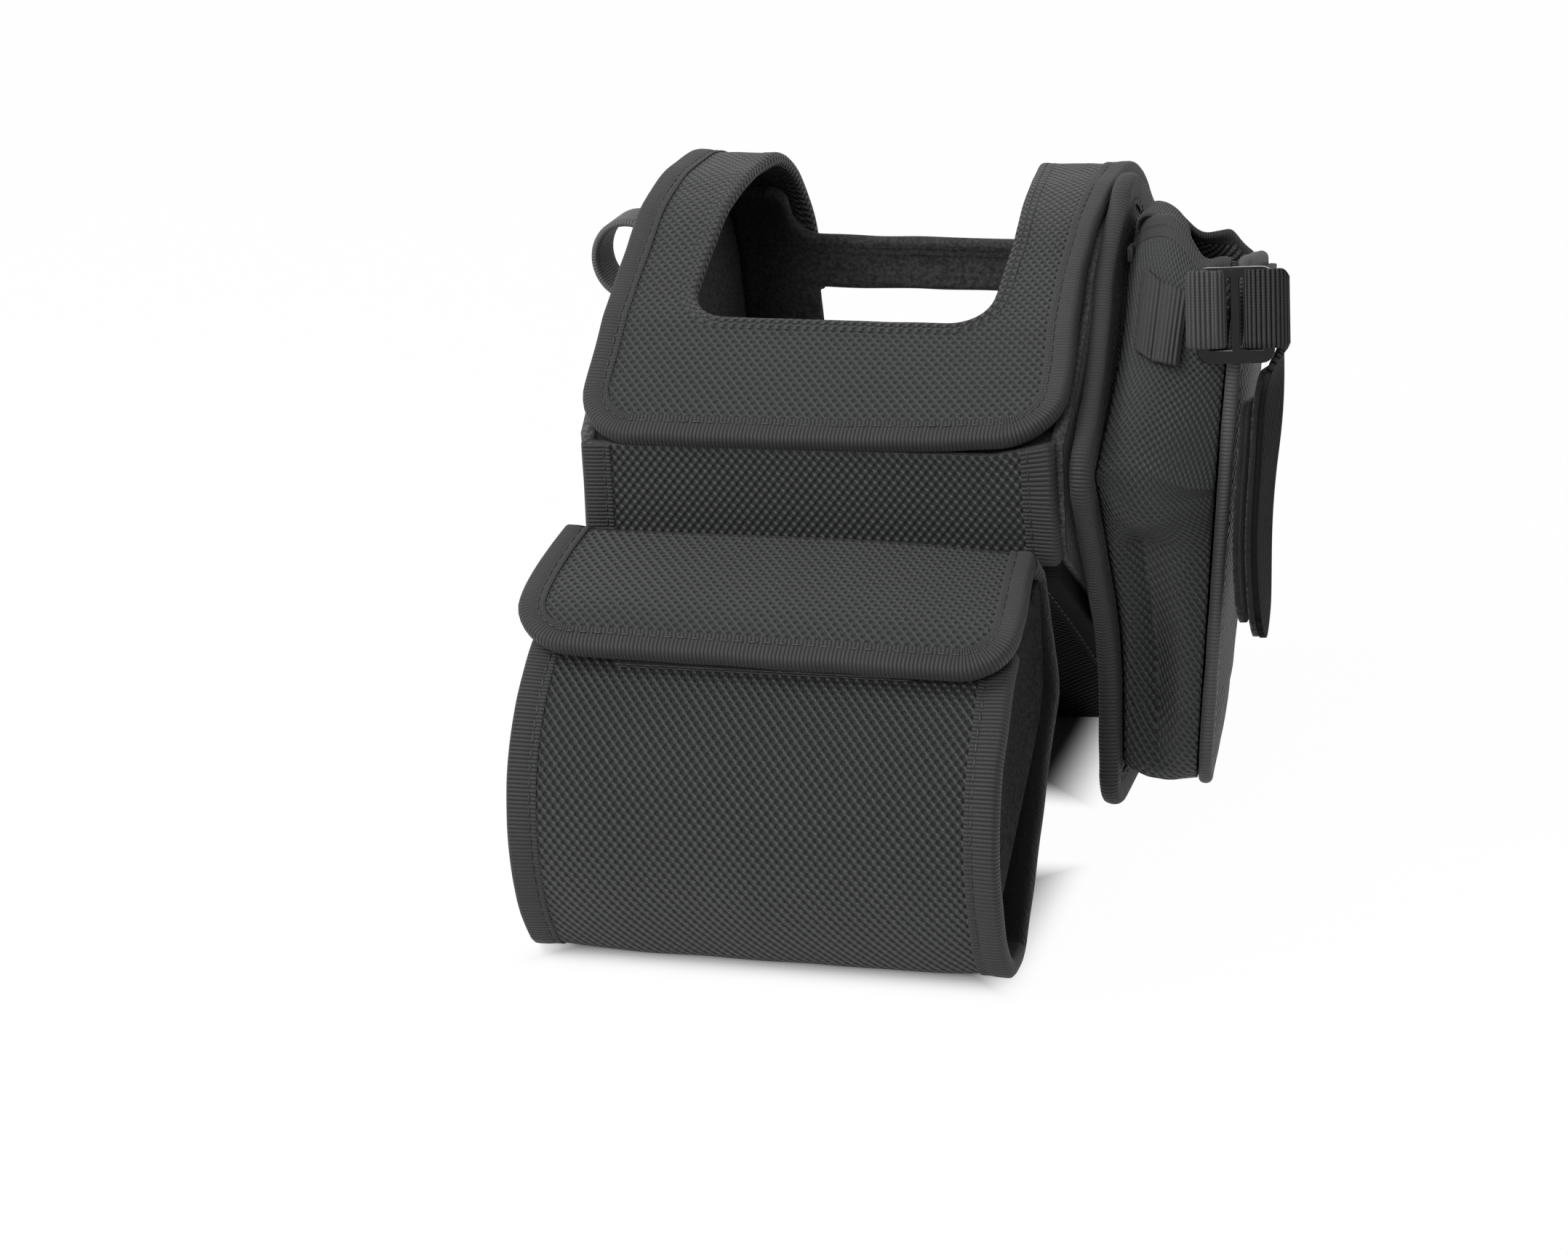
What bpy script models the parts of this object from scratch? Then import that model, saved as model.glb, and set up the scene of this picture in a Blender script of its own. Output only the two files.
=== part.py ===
"""Soft instrument case of bound panels: a main compartment under an arched flap with a
viewing cut-out, a bulging front pocket with its own flap, and a side pouch with a strap.

Frame: +X to the right seen from the front, +Y to the back, +Z up. The origin is on the floor,
in the middle of the flat heel under the back of the case. Sizes are in metres.

Most pieces are cut as a flat pattern, thickened, and then laid along a path in the side view.
"""

from math import atan, ceil, cos, pi, radians, sin, tan

import bmesh
import bpy
from mathutils import Matrix, Vector

MM = 0.001

# Cloth build-up: outer cloth, stiffening board and lining, with tape over the edges
CLEAR = 0.3 * MM
CLOTH = 0.9 * MM
BOARD = 0.9 * MM
LINING = 0.7 * MM
TAPE = 0.7 * MM
TAPE_COVER = 7.0 * MM
HEM_COVER = 3.0 * MM

# Main compartment, measured from the front panel's outer face
WIDTH = 120.0 * MM
BODY_DEPTH = 134.0 * MM
FRONT_TOP = 105.0 * MM
FRONT_FOOT = 79.0 * MM
FRONT_FOOT_R = 10.0 * MM
HEEL_LENGTH = 29.5 * MM
HEEL_R = 12.0 * MM
EDGE_TAPE_STOP = 14.0 * MM
WALL_FRONT_R = 2.0 * MM
WALL_HEEL_R = 3.0 * MM

# Arched top flap
ROOF_TOP = 154.0 * MM
ROOF_FLAT = 67.8 * MM
LIP_RISE = 5.3 * MM
ARCH_R = 38.0 * MM
ROOF_BREAK_R = 60.0 * MM
ARM_SEAM_HEIGHT = 109.0 * MM
LIP_OVERHANG = 0.5 * MM
FLAP_CORNER_R = 14.0 * MM
CUTOUT_WIDTH = 76.0 * MM
CUTOUT_TO_LIP = 36.0 * MM
CUTOUT_R = 11.0 * MM
PATCH = 0.8 * MM
PATCH_MARGIN = 9.0 * MM
TOP_PATCH_WIDTH = 70.0 * MM
TOP_PATCH_LENGTH = 16.0 * MM
FACING = 1.2 * MM
FACING_DROP = 16.0 * MM
FACING_R = 4.0 * MM

# Rear panel with its cross band and window
BAND_TOP = 125.5 * MM
BAND_HEIGHT = 15.5 * MM
BAND_R = 8.0 * MM
WINDOW_WIDTH = 74.0 * MM
WINDOW_FOOT = 34.0 * MM
WINDOW_R = 6.0 * MM
EAR_WIDTH = 16.0 * MM
EAR_RISE = 18.0 * MM
EAR_R = 4.0 * MM

# Front pocket: a round belly, a small flat to stand on and a slanting back
BELLY_Y = -21.4 * MM
BELLY_Z = 29.9 * MM
BELLY_R = 46.0 * MM
BELLY_TOP_ANGLE = radians(64.0)
BELLY_FOOT_ANGLE = radians(33.0)
POCKET_MOUTH_RUN = 4.0 * MM
POCKET_TOE_R = 8.0 * MM
POCKET_FLAT_BACK = -45.0 * MM
POCKET_HEEL_R = 10.0 * MM
POCKET_BACK_FOOT = 51.0 * MM
POCKET_BACK_R = 14.0 * MM
POCKET_FOLD_HEIGHT = 82.0 * MM
POCKET_FOLD_R = 4.0 * MM
RIDGE_Y = -11.5 * MM
RIDGE_Z = 89.2 * MM
GUSSET = 1.5 * MM
GUSSET_INSET = 9.0 * MM

# Pocket flap
POCKET_LIP_ANGLE = radians(56.0)
POCKET_LIP_RUN = 12.5 * MM
POCKET_LIP_R = 25.0 * MM
POCKET_FLAP_CORNER_R = 13.0 * MM
POCKET_PATCH_WIDTH = 70.0 * MM
POCKET_PATCH_LENGTH = 6.0 * MM

# Side pouch: outline of its bound back panel, in the side view
POUCH_FOOT = 9.5 * MM
POUCH_FRONT = 20.5 * MM
POUCH_WAIST_Y = 25.5 * MM
POUCH_WAIST_Z = 49.0 * MM
POUCH_NOSE_Y = -1.5 * MM
POUCH_NOSE_Z = 102.5 * MM
POUCH_PEAK_Y = 84.0 * MM
POUCH_PEAK_Z = 158.0 * MM
POUCH_REAR = 104.0 * MM
POUCH_CORNER_R = 8.0 * MM
POUCH_NOSE_R = 9.0 * MM
POUCH_WAIST_R = 40.0 * MM
POUCH_PEAK_R = 15.0 * MM
POUCH_CLOTH = 1.6 * MM
POUCH_OUT_FOOT = 85.6 * MM
POUCH_FLARE = 0.085
POUCH_TAPER = 0.06
POUCH_BULGE = 6.0 * MM
POUCH_SEAM_INSET = 9.0 * MM
POUCH_MOUTH = 145.0 * MM
POUCH_MOUTH_REAR = 133.0 * MM
POUCH_REAR_RISE = 7.0 * MM
POUCH_FACE_FRONT = 28.0 * MM
POUCH_FACE_LEAN = 7.0 * MM
POUCH_FACE_REAR = 88.0 * MM
POUCH_FACE_R = 12.0 * MM
POUCH_FACE_BEND = 104.0 * MM
POUCH_MOUTH_R = 8.0 * MM
POUCH_MOUTH_FRONT = 133.0 * MM
ANCHOR_INSET = 5.8 * MM
ANCHOR_LENGTH = 11.5 * MM
ANCHOR_HEIGHT = 23.0 * MM

# Webbing strap, three-bar slide and strap loops
WEB = 1.4 * MM
WEB_WIDTH = 20.0 * MM
SLIDE_WIDTH = 18.0 * MM
SLIDE_BAR = 3.0 * MM
SLIDE_THICK = 2.6 * MM
SLIDE_ROUND = 0.7 * MM
SLIDE_MIDDLE_BAR = 2.2 * MM
SLIDE_PLAY = 0.3 * MM
SLIDE_AHEAD = 2.5 * MM
SLIDE_DROP = 12.0 * MM
SLIDE_STANDOFF = 0.5 * MM
SLIDE_TURN = radians(10.0)
SLIDE_LEAN = radians(-8.0)
STRAP_LOOP_REACH = 6.5 * MM
STRAP_GAP = 3.8 * MM
TAIL_CORNER = 11.8 * MM
TAIL_CORNER_R = 3.0 * MM
TAIL_TURN = radians(94.0)
TAIL_RUN = 25.0 * MM
TAIL_DROP = 80.0 * MM
TAIL_TIP_R = 8.0 * MM
RING_R = 11.5 * MM
RING_BAND = 2.0 * MM
RING_WIDTH = 14.0 * MM
RING_SWING_GAP = 2.5 * MM
RING_PLAY = 3.0 * MM
RING_SIDES = 24
LEFT_RING_FROM_BACK = 40.0 * MM
LEFT_RING_DROP = 25.0 * MM
RIGHT_RING_FROM_BACK = 25.0 * MM
RIGHT_RING_DROP = 10.0 * MM
RIGHT_RING_TILT = radians(25.0)
KEEPER = 1.2 * MM
KEEPER_HEIGHT = 4.0 * MM
KEEPER_FOOT = 4.0 * MM

# Smoothness of arcs
ARC_STEP = radians(15.0)
SMOOTH_ANGLE = radians(35.0)

# Sizes that follow
SHEET = CLOTH + BOARD + LINING + 2 * CLEAR
EDGE = TAPE + CLEAR
STANDOFF = SHEET + EDGE + CLEAR
HALF = WIDTH / 2 - EDGE
WALL_OUT = WIDTH / 2 + EDGE
WALL_IN = WALL_OUT - SHEET
HEEL_START = BODY_DEPTH - HEEL_LENGTH
FLAP_REAR = BODY_DEPTH + STANDOFF
ROOF_BREAK = FLAP_REAR - ROOF_FLAT
ROOF_FALL = (ROOF_TOP - FRONT_TOP - LIP_RISE) / ROOF_BREAK
ROOF_SLOPE = atan(ROOF_FALL)
POUCH_X = WALL_OUT + CLEAR + EDGE
POUCH_OUTER_X = POUCH_X + SHEET
BELLY = Vector((BELLY_Y, BELLY_Z))
SLIDE_Y = POUCH_FACE_FRONT - SLIDE_AHEAD
SLIDE_Z = POUCH_MOUTH - SLIDE_DROP


# Outlines and paths in two dimensions

def rounded(corners, closed=False):
    """Points along corners (a, b, radius), with each corner turned into an arc."""
    points = []
    last = len(corners) - 1
    for i, (a, b, radius) in enumerate(corners):
        here = Vector((a, b))
        if radius == 0 or (not closed and i in (0, last)):
            points.append(here)
            continue
        back = (Vector(corners[i - 1][:2]) - here).normalized()
        ahead = (Vector(corners[(i + 1) % (last + 1)][:2]) - here).normalized()
        half = back.angle(ahead) / 2
        centre = here + (back + ahead).normalized() * (radius / sin(half))
        start = here + back * (radius / tan(half)) - centre
        sweep = pi - 2 * half
        turn = 1 if back.x * ahead.y - back.y * ahead.x < 0 else -1
        steps = max(2, ceil(sweep / ARC_STEP))
        for k in range(steps + 1):
            angle = turn * sweep * k / steps
            spun = Vector((start.x * cos(angle) - start.y * sin(angle),
                           start.x * sin(angle) + start.y * cos(angle)))
            points.append(centre + spun)
    return points


def inset(corners, depths):
    """A closed outline moved inwards, edge by edge; corners run counter-clockwise."""
    count = len(corners)
    lines = []
    for i in range(count):
        start = Vector(corners[i][:2])
        along = (Vector(corners[(i + 1) % count][:2]) - start).normalized()
        inward = Vector((-along.y, along.x))
        lines.append((start + inward * depths[i], along))
    moved = []
    for i in range(count):
        (p, d), (q, e) = lines[i - 1], lines[i]
        cross = d.x * e.y - d.y * e.x
        gap = q - p
        meet = p + d * ((gap.x * e.y - gap.y * e.x) / cross)
        convex = 1 if cross > 0 else -1
        radius = corners[i][2]
        if radius:
            radius = max(radius - convex * min(depths[i - 1], depths[i]), CLEAR)
        moved.append((meet.x, meet.y, radius))
    return moved


def normals(points, closed=False):
    """Left-hand normals of a path, stretched at the corners so that offsets stay parallel."""
    count = len(points)
    edges = [(points[(i + 1) % count] - points[i]).normalized() for i in range(count)]
    lefts = [Vector((-d.y, d.x)) for d in edges]
    result = []
    for i in range(count):
        if closed or 0 < i < count - 1:
            one, two = lefts[i - 1], lefts[i]
            result.append((one + two) / (1 + one.dot(two)))
        else:
            result.append(lefts[0] if i == 0 else lefts[-2])
    return result


def resampled(points, count):
    """The same path as evenly spaced points."""
    lengths = [0.0]
    for one, two in zip(points, points[1:]):
        lengths.append(lengths[-1] + (two - one).length)
    result = []
    k = 0
    for i in range(count):
        goal = lengths[-1] * i / (count - 1)
        while k < len(points) - 2 and lengths[k + 1] < goal:
            k += 1
        share = (goal - lengths[k]) / (lengths[k + 1] - lengths[k])
        result.append(points[k].lerp(points[k + 1], share))
    return result


class Bend:
    """Lays a flat pattern along a path: across stays across, along follows the path, and
    depth goes to the path's left-hand side, which is the inside of the case."""

    def __init__(self, corners):
        self.points = rounded(corners)
        self.normals = normals(self.points)
        self.stations = [0.0]
        for one, two in zip(self.points, self.points[1:]):
            self.stations.append(self.stations[-1] + (two - one).length)
        self.length = self.stations[-1]

    def at(self, along, depth):
        last = len(self.stations) - 2
        k = 0
        while k < last and self.stations[k + 1] < along:
            k += 1
        share = (along - self.stations[k]) / (self.stations[k + 1] - self.stations[k])
        point = self.points[k].lerp(self.points[k + 1], share)
        return point + self.normals[k].lerp(self.normals[k + 1], share) * depth

    def __call__(self, across, along, depth):
        point = self.at(along, depth)
        return Vector((across, point.x, point.y))

    def along_at(self, point):
        """Length along the path at one of its own corners."""
        distances = [(spot - Vector(point)).length for spot in self.points]
        return self.stations[distances.index(min(distances))]

    def along_at_height(self, height):
        """Length along the path where it first reaches a height."""
        for k in range(len(self.points) - 1):
            low, high = self.points[k].y, self.points[k + 1].y
            if min(low, high) <= height <= max(low, high) and low != high:
                share = (height - low) / (high - low)
                return self.stations[k] + share * (self.stations[k + 1] - self.stations[k])
        raise ValueError("the path does not reach that height")


# Materials and objects

def finish(name, colour, roughness, metallic=0.0):
    """A plain Principled BSDF material."""
    material = bpy.data.materials.new(name)
    material.use_nodes = True
    shader = material.node_tree.nodes["Principled BSDF"]
    shader.inputs["Base Color"].default_value = (*colour, 1.0)
    shader.inputs["Roughness"].default_value = roughness
    shader.inputs["Metallic"].default_value = metallic
    return material


CLOTH_LOOK = ((0.020, 0.021, 0.022), 0.75)
BOARD_LOOK = ((0.10, 0.10, 0.10), 0.90)
LINING_LOOK = ((0.035, 0.036, 0.038), 0.85)
TAPE_LOOK = ((0.024, 0.025, 0.026), 0.65)
HOOK_LOOK = ((0.015, 0.015, 0.016), 0.95)
WEB_LOOK = ((0.026, 0.027, 0.028), 0.60)
PLASTIC_LOOK = ((0.010, 0.010, 0.011), 0.25)
LAYER_LOOKS = {"cloth": CLOTH_LOOK, "board": BOARD_LOOK, "lining": LINING_LOOK}


def pivot(name, place, parent):
    """An empty on a joint's axis."""
    empty = bpy.data.objects.new(name, None)
    bpy.context.scene.collection.objects.link(empty)
    empty.parent = parent
    empty.location = place
    return empty


def node(name, bm, look, parent):
    """Turns a mesh drawn in the case's own place into a named object under its parent."""
    bmesh.ops.remove_doubles(bm, verts=bm.verts, dist=0.001 * MM)
    bmesh.ops.recalc_face_normals(bm, faces=bm.faces)
    if parent is not CASE:
        bm.transform(Matrix.Translation(-parent.location))
    mesh = bpy.data.meshes.new(name)
    bm.to_mesh(mesh)
    bm.free()
    obj = bpy.data.objects.new(name, mesh)
    bpy.context.scene.collection.objects.link(obj)
    obj.parent = parent
    mesh.shade_smooth()
    mesh.set_sharp_from_angle(angle=SMOOTH_ANGLE)
    mesh.materials.append(finish(name, *look))
    return obj


# Sheets and edge tape

def pattern(loops):
    """A flat pattern: the first loop is the outline, the others are cut out of it."""
    bm = bmesh.new()
    for loop in loops:
        verts = [bm.verts.new((p.x, p.y, 0.0)) for p in loop]
        for i, vert in enumerate(verts):
            bm.edges.new((verts[i - 1], vert))
    bmesh.ops.triangle_fill(bm, use_beauty=True, edges=bm.edges[:], normal=(0, 0, 1))
    return bm


def sheet(loops, lay, near, far, stations=()):
    """A flat pattern cut at the fold stations, thickened from near to far and laid in place."""
    bm = pattern(loops)
    for station in stations:
        bmesh.ops.bisect_plane(bm, geom=bm.verts[:] + bm.edges[:] + bm.faces[:], dist=0.0001 * MM,
                               plane_co=(0, station, 0), plane_no=(0, 1, 0))
    lower = bm.faces[:]
    grown = bmesh.ops.extrude_face_region(bm, geom=lower, use_keep_orig=True)
    top = {g for g in grown["geom"] if isinstance(g, bmesh.types.BMVert)}
    for vert in bm.verts:
        depth = far if vert in top else near
        vert.co = lay(vert.co.x, vert.co.y, depth)
    return bm


def sweep(rings, closed=False):
    """Skins a row of equal rings of points; an open row gets end caps."""
    bm = bmesh.new()
    rows = [[bm.verts.new(p) for p in ring] for ring in rings]
    pairs = list(zip(rows, rows[1:]))
    if closed:
        pairs.append((rows[-1], rows[0]))
    for one, two in pairs:
        for i in range(len(one)):
            bm.faces.new((one[i - 1], one[i], two[i], two[i - 1]))
    if not closed:
        ends = [bm.faces.new(rows[0]), bm.faces.new(rows[-1])]
        bm.normal_update()
        bmesh.ops.triangulate(bm, faces=ends)
    return bm


def folded_tape(thickness, cover):
    """Section of a tape folded over a sheet's edge, as (outwards, depth) pairs."""
    return [(-cover, -EDGE), (EDGE, -EDGE), (EDGE, thickness + EDGE), (-cover, thickness + EDGE),
            (-cover, thickness + CLEAR), (CLEAR, thickness + CLEAR), (CLEAR, -CLEAR), (-cover, -CLEAR)]


def split(points, stations, closed):
    """Adds the points where a path crosses the fold stations."""
    ends = points[1:] + points[:1] if closed else points[1:]
    result = []
    for one, two in zip(points, ends):
        result.append(one)
        rise = two.y - one.y
        if abs(rise) < CLEAR:
            continue
        shares = sorted((s - one.y) / rise for s in stations)
        result += [one.lerp(two, share) for share in shares if 0.001 < share < 0.999]
    return result if closed else result + [points[-1]]


def edge_tape(points, lay, stations=(), closed=False, thickness=SHEET, cover=TAPE_COVER):
    """Tape folded over the edge that lies along the points, its cloth on their left."""
    points = split(points, stations, closed)
    lefts = normals(points, closed)
    rings = []
    for point, left in zip(points, lefts):
        ring = []
        for out, depth in folded_tape(thickness, cover):
            spot = point - left * out
            ring.append(lay(spot.x, spot.y, depth))
        rings.append(ring)
    return sweep(rings, closed)


def laminate(name, loops, lay, parent, stations=()):
    """The three layers of a stiffened panel, each its own piece."""
    depth = 0.0
    for layer, thick in (("cloth", CLOTH), ("board", BOARD), ("lining", LINING)):
        bm = sheet(loops, lay, depth, depth + thick, stations)
        node(f"{name}_{layer}", bm, LAYER_LOOKS[layer], parent)
        depth += thick + CLEAR


def strip_outline(half, start, end):
    """A plain rectangle across the case."""
    return rounded([(half, start, 0), (half, end, 0), (-half, end, 0), (-half, start, 0)], True)


def side_tapes(name, bend, start, end, parent):
    """Edge tapes down the right and left edges of a strip across the case."""
    for side, ends in (("right", (start, end)), ("left", (end, start))):
        across = HALF if side == "right" else -HALF
        points = [Vector((across, along)) for along in ends]
        node(f"{name}_tape_{side}", edge_tape(points, bend, bend.stations), TAPE_LOOK, parent)


# Main compartment

def roof_height(y):
    """Height of the flap's outer face over a place on the sloping roof."""
    return ROOF_TOP - (ROOF_BREAK - y) * ROOF_FALL


def body_outline():
    """Outer envelope in the side view, counter-clockwise from the front's top."""
    return [(0, roof_height(0), WALL_FRONT_R), (0, FRONT_FOOT, FRONT_FOOT_R),
            (HEEL_START, 0, HEEL_R), (FLAP_REAR, 0, WALL_HEEL_R),
            (FLAP_REAR, ROOF_TOP, ARCH_R), (ROOF_BREAK, ROOF_TOP, ROOF_BREAK_R)]


def wall_outline():
    """Side wall: the envelope less what lies over each of its edges."""
    return inset(body_outline(), [STANDOFF, STANDOFF, SHEET + CLEAR, STANDOFF, STANDOFF, STANDOFF])


def build_wrap():
    """Front panel, slanting underside and heel, in one bound sheet."""
    bend = Bend([(0, FRONT_TOP, 0), (0, FRONT_FOOT, FRONT_FOOT_R),
                 (HEEL_START, 0, HEEL_R), (BODY_DEPTH, 0, 0)])
    laminate("body_wrap", [strip_outline(HALF, 0, bend.length)], bend, CASE, bend.stations)
    tape_end = bend.along_at_height(EDGE_TAPE_STOP)
    side_tapes("body_wrap", bend, 0, tape_end, CASE)


def build_walls():
    """Left and right walls, standing inside the wrap and under the flap."""
    outline = rounded(wall_outline(), True)
    for side, sign in (("left", -1), ("right", 1)):
        def lay(y, z, depth, sign=sign):
            return Vector((sign * (WALL_OUT - depth), y, z))
        laminate(f"{side}_wall", [outline], lay, CASE)


def build_rear_panel():
    """Rear panel between the walls: a window, a cross band and two ears under the flap's arms."""
    half = WALL_IN - CLEAR
    foot = SHEET + CLEAR
    bend = Bend([(BODY_DEPTH, foot, 0), (BODY_DEPTH, ROOF_TOP - STANDOFF, ARCH_R - STANDOFF),
                 (ROOF_BREAK, ROOF_TOP - STANDOFF, 0)])
    band = bend.along_at_height(BAND_TOP)
    ear = band + EAR_RISE
    window_low = bend.along_at_height(WINDOW_FOOT)
    window_high = band - BAND_HEIGHT
    ear_in = half - EAR_WIDTH
    outline = rounded([(half, 0, 0), (half, ear, EAR_R), (ear_in, ear, EAR_R), (ear_in, band, BAND_R),
                       (-ear_in, band, BAND_R), (-ear_in, ear, EAR_R), (-half, ear, EAR_R),
                       (-half, 0, 0)], True)
    w = WINDOW_WIDTH / 2
    window = rounded([(w, window_low, WINDOW_R), (w, window_high, WINDOW_R),
                      (-w, window_high, WINDOW_R), (-w, window_low, WINDOW_R)], True)
    laminate("rear_panel", [outline, window], bend, CASE, bend.stations)


def build_facing():
    """Ledge behind the front panel's top, which carries the loop tape under the flap."""
    lift = SHEET + 2 * PATCH + 3 * CLEAR
    y = STANDOFF
    fold = roof_height(y) - lift / cos(ROOF_SLOPE)
    run = PATCH_MARGIN + TOP_PATCH_LENGTH
    bend = Bend([(y + run * cos(ROOF_SLOPE), fold + run * sin(ROOF_SLOPE), 0), (y, fold, FACING_R),
                 (y, fold - FACING_DROP, 0)])
    outline = strip_outline(WALL_IN - CLEAR, 0, bend.length)
    node("front_facing", sheet([outline], bend, 0, FACING, bend.stations), LINING_LOOK, CASE)
    patch = strip_outline(TOP_PATCH_WIDTH / 2, 0, TOP_PATCH_LENGTH)
    node("front_loop_patch", sheet([patch], bend, -CLEAR - PATCH, -CLEAR), HOOK_LOOK, CASE)


# Top flap

def build_top_flap(hinge):
    """Arched flap: two arms over the top, joined by a bound front plate round the cut-out."""
    lip = -LIP_OVERHANG
    bend = Bend([(FLAP_REAR, ARM_SEAM_HEIGHT, 0), (FLAP_REAR, ROOF_TOP, ARCH_R),
                 (ROOF_BREAK, ROOF_TOP, ROOF_BREAK_R), (lip, roof_height(lip), 0)])
    inner = CUTOUT_WIDTH / 2 + EDGE
    cut = bend.length - CUTOUT_TO_LIP + EDGE
    lip_end = bend.length
    outer_edge = [(HALF, 0, 0), (HALF, lip_end, FLAP_CORNER_R),
                  (-HALF, lip_end, FLAP_CORNER_R), (-HALF, 0, 0)]
    inner_edge = [(-inner, 0, 0), (-inner, cut, CUTOUT_R), (inner, cut, CUTOUT_R), (inner, 0, 0)]
    outline = rounded(outer_edge + inner_edge, True)
    laminate("top_flap", [outline], bend, hinge, bend.stations)
    node("top_flap_tape", edge_tape(rounded(outer_edge), bend, bend.stations), TAPE_LOOK, hinge)
    hem = edge_tape(rounded(inner_edge), bend, bend.stations, cover=HEM_COVER)
    node("top_flap_hem", hem, TAPE_LOOK, hinge)
    end = lip_end - PATCH_MARGIN
    near = SHEET + CLEAR
    patch = strip_outline(TOP_PATCH_WIDTH / 2, end - TOP_PATCH_LENGTH, end)
    node("top_flap_hook_patch", sheet([patch], bend, near, near + PATCH), HOOK_LOOK, hinge)


# Front pocket

def belly_point(angle, radius):
    """A point round the pocket's belly; the angle rises from straight ahead."""
    return BELLY + Vector((-cos(angle), sin(angle))) * radius


def pocket_corners():
    """Outer face of the pocket from its mouth, round the belly, under and up the back."""
    mouth = belly_point(BELLY_TOP_ANGLE, BELLY_R)
    mouth += Vector((sin(BELLY_TOP_ANGLE), cos(BELLY_TOP_ANGLE))) * POCKET_MOUTH_RUN
    half = (BELLY_TOP_ANGLE + BELLY_FOOT_ANGLE) / 2
    front = belly_point(BELLY_TOP_ANGLE - half, BELLY_R / cos(half))
    foot = belly_point(-BELLY_FOOT_ANGLE, BELLY_R)
    toe = foot.x + (foot.y - EDGE) * tan(BELLY_FOOT_ANGLE)
    back = -2 * EDGE - CLEAR
    return [(mouth.x, mouth.y, 0), (front.x, front.y, BELLY_R), (toe, EDGE, POCKET_TOE_R),
            (POCKET_FLAT_BACK, EDGE, POCKET_HEEL_R), (back, POCKET_BACK_FOOT, POCKET_BACK_R),
            (back, POCKET_FOLD_HEIGHT, POCKET_FOLD_R), (RIDGE_Y, RIDGE_Z, 0)]


def pocket_bend():
    """The pocket's outer face and, past the ridge, the outer face of its flap."""
    standoff = SHEET + EDGE + 2 * PATCH + 3 * CLEAR
    lip = belly_point(POCKET_LIP_ANGLE, BELLY_R + standoff)
    fold = lip + Vector((sin(POCKET_LIP_ANGLE), cos(POCKET_LIP_ANGLE))) * POCKET_LIP_RUN
    return Bend(pocket_corners() + [(fold.x, fold.y, POCKET_LIP_R), (lip.x, lip.y, 0)])


def build_front_pocket(bend):
    """Bulging bound sheet with recessed side gussets and a loop patch under the flap's lip."""
    end = bend.along_at((RIDGE_Y, RIDGE_Z)) - CLEAR
    laminate("front_pocket", [strip_outline(HALF, 0, end)], bend, CASE, bend.stations)
    side_tapes("front_pocket", bend, 0, end, CASE)
    ring = pocket_corners()[:-1]
    depths = [SHEET + CLEAR] * (len(ring) - 1) + [CLEAR]
    gusset = rounded(inset(ring, depths), True)
    for side, sign in (("left", -1), ("right", 1)):
        def lay(y, z, depth, sign=sign):
            return Vector((sign * (WIDTH / 2 - GUSSET_INSET - depth), y, z))
        node(f"front_pocket_gusset_{side}", sheet([gusset], lay, 0, GUSSET), LINING_LOOK, CASE)
    start = POCKET_MOUTH_RUN + CLEAR
    patch = strip_outline(POCKET_PATCH_WIDTH / 2, start, start + POCKET_PATCH_LENGTH)
    bm = sheet([patch], bend, -CLEAR - PATCH, -CLEAR, bend.stations)
    node("front_pocket_loop_patch", bm, HOOK_LOOK, CASE)


def build_pocket_flap(bend, hinge):
    """Bound flap from the pocket's ridge down over its mouth."""
    start = bend.along_at((RIDGE_Y, RIDGE_Z)) + CLEAR
    end = bend.length
    edge = [(HALF, start, 0), (HALF, end, POCKET_FLAP_CORNER_R),
            (-HALF, end, POCKET_FLAP_CORNER_R), (-HALF, start, 0)]
    laminate("pocket_flap", [rounded(edge, True)], bend, hinge, bend.stations)
    node("pocket_flap_tape", edge_tape(rounded(edge), bend, bend.stations), TAPE_LOOK, hinge)
    patch = strip_outline(POCKET_PATCH_WIDTH / 2, end - POCKET_PATCH_LENGTH, end)
    near = SHEET + EDGE + CLEAR
    bm = sheet([patch], bend, near, near + PATCH, bend.stations)
    node("pocket_flap_hook_patch", bm, HOOK_LOOK, hinge)


# Side pouch

def pouch_outline():
    """Bound back panel of the pouch, counter-clockwise in the side view from its lower front."""
    return [(POUCH_FRONT, POUCH_FOOT, POUCH_CORNER_R), (POUCH_REAR, POUCH_FOOT, POUCH_CORNER_R),
            (POUCH_REAR, POUCH_PEAK_Z - POUCH_PEAK_R, POUCH_PEAK_R),
            (POUCH_PEAK_Y, POUCH_PEAK_Z, POUCH_PEAK_R), (POUCH_NOSE_Y, POUCH_NOSE_Z, POUCH_NOSE_R),
            (POUCH_WAIST_Y, POUCH_WAIST_Z, POUCH_WAIST_R)]


def face_x(y, z):
    """Outer face of the pouch: wider at the top, narrower at the back."""
    return POUCH_OUT_FOOT + POUCH_FLARE * z - POUCH_TAPER * (y - POUCH_FACE_FRONT)


def lay_face(y, z, depth):
    """Lays a pattern on the pouch's outer face."""
    return Vector((face_x(y, z) - depth, y, z))


def face_outline():
    """Outer panel, counter-clockwise from its lower front."""
    foot = POUCH_FOOT + POUCH_SEAM_INSET - TAPE_COVER + EDGE
    front = POUCH_FACE_FRONT
    return [(front, foot, POUCH_FACE_R), (POUCH_FACE_REAR, foot, POUCH_FACE_R),
            (POUCH_FACE_REAR, POUCH_MOUTH_REAR, POUCH_MOUTH_R),
            (front + POUCH_FACE_LEAN, POUCH_MOUTH, POUCH_MOUTH_R), (front, POUCH_FACE_BEND, POUCH_WAIST_R)]


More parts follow.
